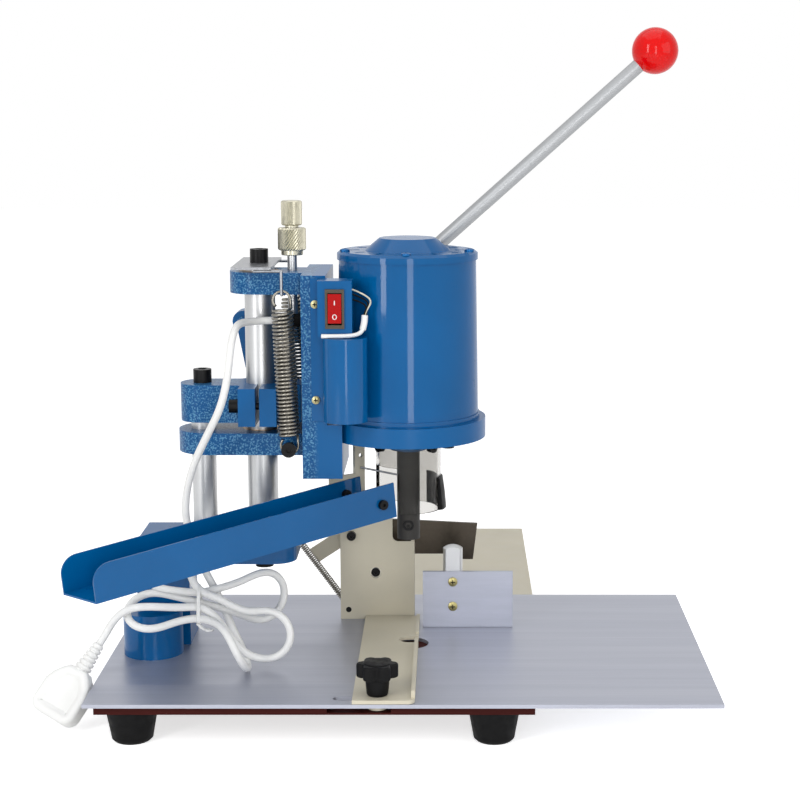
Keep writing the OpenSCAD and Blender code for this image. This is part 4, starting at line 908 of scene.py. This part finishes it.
# Strands that the tie holds, by their places across the waist, in Y and Z
TIED = ((-76.5, 45), (-63.5, 54), (-63.8, 62.2), (-71, 67), (-73.6, 54))
TIE_X, TIE_CLEAR, TIE_WIDTH, TIE_TURNS = -166.5, 3.9, 2.4, 2
TIE_WIRE = 0.0009
# Where the twisted ends of the tie leave the hank
TIE_FOOT = Vector((TIE_X, -77.5, 40.6))


def make_tie():
    """Plastic-covered wire wound twice round the hank's waist, its ends twisted together."""
    bm = bmesh.new()
    loop = []
    steps = 48 * TIE_TURNS
    for k in range(steps + 1):
        share = k / steps
        a = 2 * math.pi * TIE_TURNS * share - math.pi / 2
        way = Vector((0, math.cos(a), math.sin(a)))
        y, z = max(TIED, key=lambda c: c[0] * way.y + c[1] * way.z)
        loop.append(Vector((TIE_X + TIE_WIDTH * (share - 0.5), y, z)) + way * TIE_CLEAR)
    tube(bm, placed(eased(evenly(loop, 1.0), 3)), TIE_WIRE, 8)
    for side in (0, math.pi):
        tail = []
        for k in range(25):
            t = k / 24
            spin = side + t * 6 * math.pi
            way = Vector((9 * t, -4.5 * t - 1, -9 * t + 5.5 * t * t))
            splay = 1.0 + 9 * max(0, t - 0.75)
            twist = Vector((math.cos(spin), math.sin(spin), 0)) * splay
            tail.append(TIE_FOOT + way + twist)
        tube(bm, placed(eased(tail, 1)), TIE_WIRE, 8)
    return piece("hank_tie", bm, finish("white"), "base")


# Springs


def spring_route(start, end, hook, coil, curls, per=16):
    """Helix between two points, with a round hook at each end that the coil widens from."""
    run = (end - start).length
    bends = [math.radians(d) for d in range(0, 226, 15)]
    line = [Vector((hook * math.cos(a), 0, -hook - hook * math.sin(a))) for a in reversed(bends)]
    steps = per * curls
    for i in range(steps + 1):
        a = 2 * math.pi * i / per
        near = min(i, steps - i) / per
        radius = hook + (coil - hook) * min(1, near / 1.5)
        line.append(Vector((radius * math.cos(a), radius * math.sin(a), run * i / steps)))
    line += [Vector((hook * math.cos(a), 0, run + hook + hook * math.sin(a))) for a in bends]
    turn = math.atan2((end - start).y, (end - start).x)
    tilt = math.acos((end - start).normalized().z)
    matrix = (
        Matrix.Translation(start)
        @ Matrix.Rotation(turn, 4, "Z")
        @ Matrix.Rotation(tilt, 4, "Y")
        @ Matrix.Rotation(math.pi, 4, "Z")
    )
    return [matrix @ p for p in line]


RETURN_HOOK = 0.007
# The brace spring's middle radius, how far its hooks hang past their pins, and its wire
BRACE_COIL, BRACE_HANG, BRACE_WIRE = 0.0027, 0.00205, 0.00055


class DRILL_OT_springs(bpy.types.Operator):
    """Return springs at both sides of the head and the brace spring behind it"""

    bl_idname = "drill.springs"
    bl_label = "Springs"

    def execute(self, context):
        size = spring_sizes()
        bm = bmesh.new()
        for side in (-40, 40):
            start, end = at(-95, side, 185.7), at(-99, side, 289.5)
            route = spring_route(start, end, RETURN_HOOK, size.coil, size.curls)
            tube(bm, route, size.wire / 2, 8)
        springs = piece("return_spring_pair", bm, finish("spring"))
        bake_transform(springs)
        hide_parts("return_springs")
        low_pin, high_pin = at(-55, 81, 8.5), at(-108, 68, 86)
        gap = (high_pin - low_pin).normalized() * (2 * BRACE_COIL - BRACE_HANG)
        start, end = low_pin + gap, high_pin - gap
        route = spring_route(start, end, BRACE_COIL, BRACE_COIL, curls=46, per=12)
        bm = tube(bmesh.new(), route, BRACE_WIRE, 6)
        brace = piece("brace_spring_coil", bm, finish("spring"), "base")
        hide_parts("brace_spring")
        return {"FINISHED"}


# Knobs


def knurl(bm, radius, low, high, steps, rows, depth):
    """Presses every other crossing of a band into a diamond knurl."""
    keep = 1 - depth / radius
    for v in bm.verts:
        if abs(Vector((v.co.x, v.co.y)).length - radius) > 1e-6:
            continue
        if not low - 1e-6 < v.co.z < high + 1e-6:
            continue
        across = round(math.atan2(v.co.y, v.co.x) / (2 * math.pi / steps))
        up = round((v.co.z - low) / ((high - low) / rows))
        if (across + up) % 2:
            v.co.x *= keep
            v.co.y *= keep


KNOB_BORE, KNOB_EDGE = 0.00405, 0.001


class DRILL_OT_knobs(bpy.types.Operator):
    """Knurled depth knob and lock nut, and the star knob of the side gauge"""

    bl_idname = "drill.knobs"
    bl_label = "Knobs"

    steps: IntProperty(name="Steps", description="Knurls round a nut", default=96, min=24)

    def execute(self, context):
        self.depth_knob()
        self.lock_nut()
        self.star_knob()
        return {"FINISHED"}

    def depth_knob(self):
        radius, neck, seat = 0.0085, 0.0055, 0.0016
        foot = ((neck, 0), (neck, seat))
        crown = (radius - 0.0012, 0.0)
        self.nut("depth_knob", radius, foot, crown, self.steps, rows=22, depth=0.00035)

    def lock_nut(self):
        radius, collar, chamfer, seat = 0.0115, 0.009, 0.0005, 0.004
        foot = ((collar - chamfer, 0), (collar, chamfer), (collar, seat))
        crown = (radius - KNOB_EDGE, KNOB_BORE)
        self.nut("lock_nut", radius, foot, crown, self.steps * 2 // 3, rows=10, depth=0.0008)

    def nut(self, node, radius, foot, crown, steps, rows, depth):
        """A knurl between a foot of radii and heights and a crown of radii on the top."""
        low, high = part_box(node)
        seat = low.z + foot[-1][1]
        start, end = seat + KNOB_EDGE, high.z - KNOB_EDGE
        profile = [(KNOB_BORE, low.z), *((r, low.z + up) for r, up in foot)]
        profile.append((radius - KNOB_EDGE, seat))
        profile += [(radius, start + (end - start) * k / rows) for k in range(rows + 1)]
        profile += [(r, high.z) for r in crown]
        bm = bmesh.new()
        lathe(bm, profile, steps)
        knurl(bm, radius, start, end, steps, rows, depth)
        self.place(bm, node, f"knurled_{node}", "nickel", "nickel")

    def place(self, bm, node, name, look, slot):
        bmesh.ops.translate(bm, verts=bm.verts, vec=(*middle_of(node), 0))
        made = piece(name, bm, finish(look), node, smooth=False)
        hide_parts(node)

    def star_knob(self):
        low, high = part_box("star_knob")
        reach = 0.98 * (high.y - low.y) / 2
        seat, head, crown = at(0, 0, 3.6).z, high.z - 0.012, high.z - 0.0008
        bm = bmesh.new()
        ring = bmesh.ops.create_circle(bm, segments=144, radius=1, cap_ends=True)["verts"]
        for v in ring:
            a = math.atan2(v.co.y, v.co.x)
            r = reach * (0.885 + 0.115 * math.cos(6 * a) - 0.02 * math.cos(12 * a))
            v.co = Vector((r * math.cos(a), r * math.sin(a), head))
        draw_out(bm, next(iter(bm.faces)), (0, 0, crown - head))
        rims = [e for e in bm.edges if abs(e.verts[0].co.z - e.verts[1].co.z) < 1e-6]
        round_edges(bm, rims, 0.0028, segments=4)
        shank, neck, shoulder = 0.004, 0.0078, 0.0098
        stem = [(0.0, low.z), (shank, low.z), (shank, seat), (neck, seat)]
        stem += [(0.0084, seat + 0.001), (shoulder, head + 0.002), (0.0, head + 0.002)]
        lathe(bm, stem)
        dome = [(0.0112, high.z - 0.0012), (0.0102, high.z - 0.0002)]
        lathe(bm, [*dome, (0.008, high.z), (0.0, high.z)])
        self.place(bm, "star_knob", "star_grip", "plastic", "black_plastic")


# Screws


class DRILL_OT_screws(bpy.types.Operator):
    """Set screw of the chuck, and black crosses of painted shade in the yellow screws' cross
    slots
    """

    bl_idname = "drill.screws"
    bl_label = "Screws"

    def execute(self, context):
        self.chuck_screw()
        panel = ((-72.5, -48.5, 217), (-72.5, -48.5, 294))
        # Painted shade: a black cross on each yellow screw where its cross slot lies in shade
        self.paint_recess_shade("panel_recesses", "head", panel, 1.6)
        self.paint_recess_shade("stop_recesses", "back_stop", ((37, 43.5, 19), (37, 43.5, 41)), 2.0)
        return {"FINISHED"}

    def chuck_screw(self):
        """Broad set screw with a hexagon socket in the front of the chuck."""
        low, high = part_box("drill_chuck")
        proud, above = 0.0001, 0.0005
        face = ((low.x + high.x) / 2, low.y - proud, (low.z + high.z) / 2 + above)
        wide, key, deep, edge, flat = 0.0047, 0.0026, 0.0022, 0.0004, 0.92
        bm = bmesh.new()
        profile = [(wide, deep), (wide, edge), (wide - edge, 0.0), (key, 0.0)]
        lathe(bm, [*profile, (key, deep - edge), (0.0, deep - edge)], 36)
        for v in bm.verts:
            if abs(Vector((v.co.x, v.co.y)).length - key) < 1e-6:
                turn = math.atan2(v.co.y, v.co.x) % (math.pi / 3) - math.pi / 6
                v.co.x *= flat / math.cos(turn)
                v.co.y *= flat / math.cos(turn)
        to_front = Matrix.Translation(face) @ Matrix.Rotation(-math.pi / 2, 4, "X")
        bmesh.ops.transform(bm, matrix=to_front, verts=bm.verts)
        piece("chuck_screw", bm, finish("oxide"), "spindle", smooth=False)

    def paint_recess_shade(self, name, body, places, arm):
        """Black crosses on the yellow screws' heads: painted shade of their cross slots."""
        half, thick, sunk = 0.48, 0.0004, 0.05
        corner = ((arm, -half), (arm, half), (half, half))
        bm = bmesh.new()
        for x, y, z in places:
            verts = []
            for quarter in range(4):
                for across, up in corner:
                    for _ in range(quarter):
                        across, up = -up, across
                    verts.append(bm.verts.new(at(x + across, y - sunk, z + up)))
            draw_out(bm, bm.faces.new(verts), (0, -thick, 0))
        piece(name, bm, finish("oxide"), body, smooth=False)


# Switch


# Place inside the rocker that its marks are measured from, and the tilt of its face
ROCKER_AT, ROCKER_TILT = (-55.5, -63, 292.5), math.radians(4.5)
# Sheath of the leads under the switch box, and the sleeve at its upper end
SHEATH = (
    (-66, -68.6, 271.4),
    (-58, -68.8, 271.4),
    (-48, -68.7, 271.5),
    (-40, -67, 272),
    (-35, -63.5, 274),
    (-33, -60, 279),
    (-32.6, -58, 285),
)
SLEEVE = ((-34, -61, 275.5), (-32.8, -58.8, 281), (-32.4, -57.4, 286.5))
SHEATH_RADIUS, SLEEVE_RADIUS, WIRE_RADIUS = 0.0017, 0.0026, 0.0007
# Each wire has its name, finish, slot, the top of its bow, its end and its shift in the sheath
WIRES = (
    ("lead_dark", "plastic", "black_plastic", (-29.5, -56.2, 296), (-42, -55, 303), -0.7),
    ("lead_dark_low", "plastic", "black_plastic", (-31.5, -57, 294), (-42, -56, 299), 0.7),
    ("lead_cream", "cream", "cream_paint", (-27.5, -56.8, 298), (-42, -57.4, 307), 0.0),
)


def rocker_matrix():
    """Frame of the rocker's face: X out of the face, Y up, Z to the left."""
    turn = Matrix(((0, 0, -1, 0), (-1, 0, 0, 0), (0, 1, 0, 0), (0, 0, 0, 1)))
    return Matrix.Translation(at(*ROCKER_AT)) @ turn @ Matrix.Rotation(ROCKER_TILT, 4, "Z")


class DRILL_OT_switch(bpy.types.Operator):
    """Marks on the rocker and the leads beside the switch box"""

    bl_idname = "drill.switch"
    bl_label = "Switch"

    def execute(self, context):
        self.marks()
        self.leads()
        return {"FINISHED"}

    def marks(self):
        bar_size, bar_at = (0.0004, 0.0036, 0.0008), (0.00526, 0.0045, 0)
        ring_out, ring_low, ring_line = 0.0053, 0.0065, 0.00034
        ring_tall, ring_wide = 0.0019, 0.0015
        bm = bmesh.new()
        bar = bmesh.ops.create_cube(bm, size=1)["verts"]
        bmesh.ops.scale(bm, vec=bar_size, verts=bar)
        bmesh.ops.translate(bm, vec=bar_at, verts=bar)
        ring = [
            Vector((ring_out, ring_tall * math.sin(a) - ring_low, ring_wide * math.cos(a)))
            for a in (2 * math.pi * k / 32 for k in range(33))
        ]
        tube(bm, ring, ring_line, 8)
        bmesh.ops.remove_doubles(bm, verts=bm.verts, dist=1e-6)
        bmesh.ops.transform(bm, matrix=rocker_matrix(), verts=bm.verts)
        piece("rocker_marks", bm, finish("mark"), "rocker")

    def leads(self):
        bm = tube(bmesh.new(), smooth_route(SHEATH, step=1.0, rounds=6), SHEATH_RADIUS, 12)
        tube(bm, smooth_route(SLEEVE, step=1.0, rounds=0), SLEEVE_RADIUS, 12)
        piece("lead_sheath", bm, finish("white"), "head")
        for name, look, slot, bow, end, shift in WIRES:
            start = Vector((-32.5 + shift, -57.6 + shift, 285))
            inside = Vector(end) + Vector((-1.0, 0, 0.2))
            line = (start, start + Vector((0.8, 0.2, 4)), bow, end, inside)
            bm = tube(bmesh.new(), smooth_route(line, step=0.8, rounds=8), WIRE_RADIUS, 8)
            piece(name, bm, finish(look), "head")


class DRILL_OT_finishes(bpy.types.Operator):
    """Gives every solid of the frame its finish"""

    bl_idname = "drill.finishes"
    bl_label = "Finishes"

    def execute(self, context):
        done = set()
        for name, nodes in NODE_FINISHES.items():
            for node in nodes:
                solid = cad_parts[node]
                solid.data.materials.clear()
                solid.data.materials.append(finish(name))
                done.add(node)
        left = set(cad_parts) - done
        if left:
            raise RuntimeError(f"no finish for {sorted(left)}")
        return {"FINISHED"}


# Stage


# Each lamp has its place, width and height; the tall ones make the streaks on the motor
LAMPS = {
    "key": ((-900, -1150, 700), 0.26, 1.2),
    "fill": ((1150, -700, 700), 1.0, 1.0),
    "front": ((150, -1500, 420), 0.26, 1.2),
    "top": ((0, 100, 1500), 1.2, 1.2),
}
LAMPS_AIM = (0, 0, 180)
CAMERA_AT, CAMERA_DOWN, CAMERA_LENS, CAMERA_SHIFT = (36.3, -1448, 460.5), 9.86, 80.0, -0.065
FLOOR_HALF, FLOOR_GLOW = 6, 0.66


class DRILL_OT_stage(bpy.types.Operator):
    """White floor, soft lamps and the camera at the photograph's angle"""

    bl_idname = "drill.stage"
    bl_label = "Stage"

    def execute(self, context):
        size = stage_sizes()
        self.scene = context.scene
        self.scene.view_settings.view_transform = "Standard"
        self.floor(size.floor)
        self.scene.world = studio_world(size.world)
        for name, (place, width, height) in LAMPS.items():
            self.lamp(name, getattr(size, name), at(*place), width, height)
        self.camera()
        return {"FINISHED"}

    def add(self, name, data):
        made = bpy.data.objects.new(name, data)
        self.scene.collection.objects.link(made)
        return made

    def floor(self, colour):
        bm = bmesh.new()
        bmesh.ops.create_grid(bm, x_segments=1, y_segments=1, size=FLOOR_HALF)
        mesh = bpy.data.meshes.new("floor")
        bm.to_mesh(mesh)
        bm.free()
        mesh.materials.append(floor_paper(colour))
        floor = self.add("floor", mesh)

    def lamp(self, name, power, place, width, height):
        data = bpy.data.lights.new(name, "AREA")
        data.energy = power
        data.size = width
        if height != width:
            data.shape = "RECTANGLE"
            data.size_y = height
        lamp = self.add(name, data)
        lamp.location = place
        lamp.rotation_euler = (at(*LAMPS_AIM) - place).to_track_quat("-Z", "Y").to_euler()

    def camera(self):
        data = bpy.data.cameras.new("camera")
        data.sensor_width = 36
        data.lens = CAMERA_LENS
        data.shift_x = CAMERA_SHIFT
        data.clip_end = 50
        camera = self.add("camera", data)
        camera.location = at(*CAMERA_AT)
        camera.rotation_euler = (math.radians(90 - CAMERA_DOWN), 0, 0)
        self.scene.camera = camera


def studio_world(ambient):
    """Plain light from all round that the camera, reflections and glass see as white."""
    world = bpy.data.worlds.new("studio")
    world.use_nodes = True
    tree = world.node_tree
    back = tree.nodes["Background"]
    back.inputs["Color"].default_value = (1, 1, 1, 1)
    tree.links.new(map_range(tree, seen_ray(tree), low=ambient), back.inputs["Strength"])
    return world


def seen_ray(tree):
    """One where a ray comes from the camera, a reflection or through glass."""
    path = tree.nodes.new("ShaderNodeLightPath")
    seen = path.outputs["Is Camera Ray"]
    for ray in ("Is Transmission Ray", "Is Glossy Ray"):
        either = tree.nodes.new("ShaderNodeMath")
        either.operation = "MAXIMUM"
        tree.links.new(seen, either.inputs[0])
        tree.links.new(path.outputs[ray], either.inputs[1])
        seen = either.outputs[0]
    return seen


def floor_paper(colour):
    """Pale paper floor that the camera sees as white, with the shadow left on it."""
    material = bpy.data.materials.new("floor_paper")
    material.use_nodes = True
    tree = material.node_tree
    shader = tree.nodes["Principled BSDF"]
    shader.inputs["Base Color"].default_value = colour
    shader.inputs["Roughness"].default_value = 0.9
    shader.inputs["Emission Color"].default_value = (1, 1, 1, 1)
    glow = map_range(tree, seen_ray(tree), high=FLOOR_GLOW)
    tree.links.new(glow, shader.inputs["Emission Strength"])
    return material


class DRILL_PT_panel(bpy.types.Panel):
    """Lists the steps that dress the machine"""

    bl_idname = "DRILL_PT_panel"
    bl_label = "Paper drill"
    bl_space_type = "VIEW_3D"
    bl_region_type = "UI"
    bl_category = "Paper drill"

    def draw(self, context):
        for step in STEPS:
            self.layout.operator(step.bl_idname)
        for settings in (paint(), cord_sizes(), spring_sizes(), stage_sizes()):
            box = self.layout.box()
            for key in settings.bl_rna.properties.keys():
                if key not in ("rna_type", "name"):
                    box.prop(settings, key)


STEPS = (
    DRILL_OT_finishes,
    DRILL_OT_cord,
    DRILL_OT_springs,
    DRILL_OT_knobs,
    DRILL_OT_screws,
    DRILL_OT_switch,
    DRILL_OT_stage,
)
SETTINGS = (PaintSettings, CordSettings, SpringSettings, StageSettings)
CLASSES = (*SETTINGS, *STEPS, DRILL_PT_panel)


def register():
    for cls in CLASSES:
        bpy.utils.register_class(cls)
    bpy.types.Scene.drill_paint = PointerProperty(type=PaintSettings)
    bpy.types.Scene.drill_cord = PointerProperty(type=CordSettings)
    bpy.types.Scene.drill_spring = PointerProperty(type=SpringSettings)
    bpy.types.Scene.drill_stage = PointerProperty(type=StageSettings)


def unregister():
    del bpy.types.Scene.drill_stage
    del bpy.types.Scene.drill_spring
    del bpy.types.Scene.drill_cord
    del bpy.types.Scene.drill_paint
    for cls in reversed(CLASSES):
        bpy.utils.unregister_class(cls)


def main():
    register()
    bpy.ops.drill.finishes()
    bpy.ops.drill.cord()
    bpy.ops.drill.springs()
    bpy.ops.drill.knobs()
    bpy.ops.drill.screws()
    bpy.ops.drill.switch()
    bpy.ops.drill.stage()


if __name__ == "__main__":
    main()
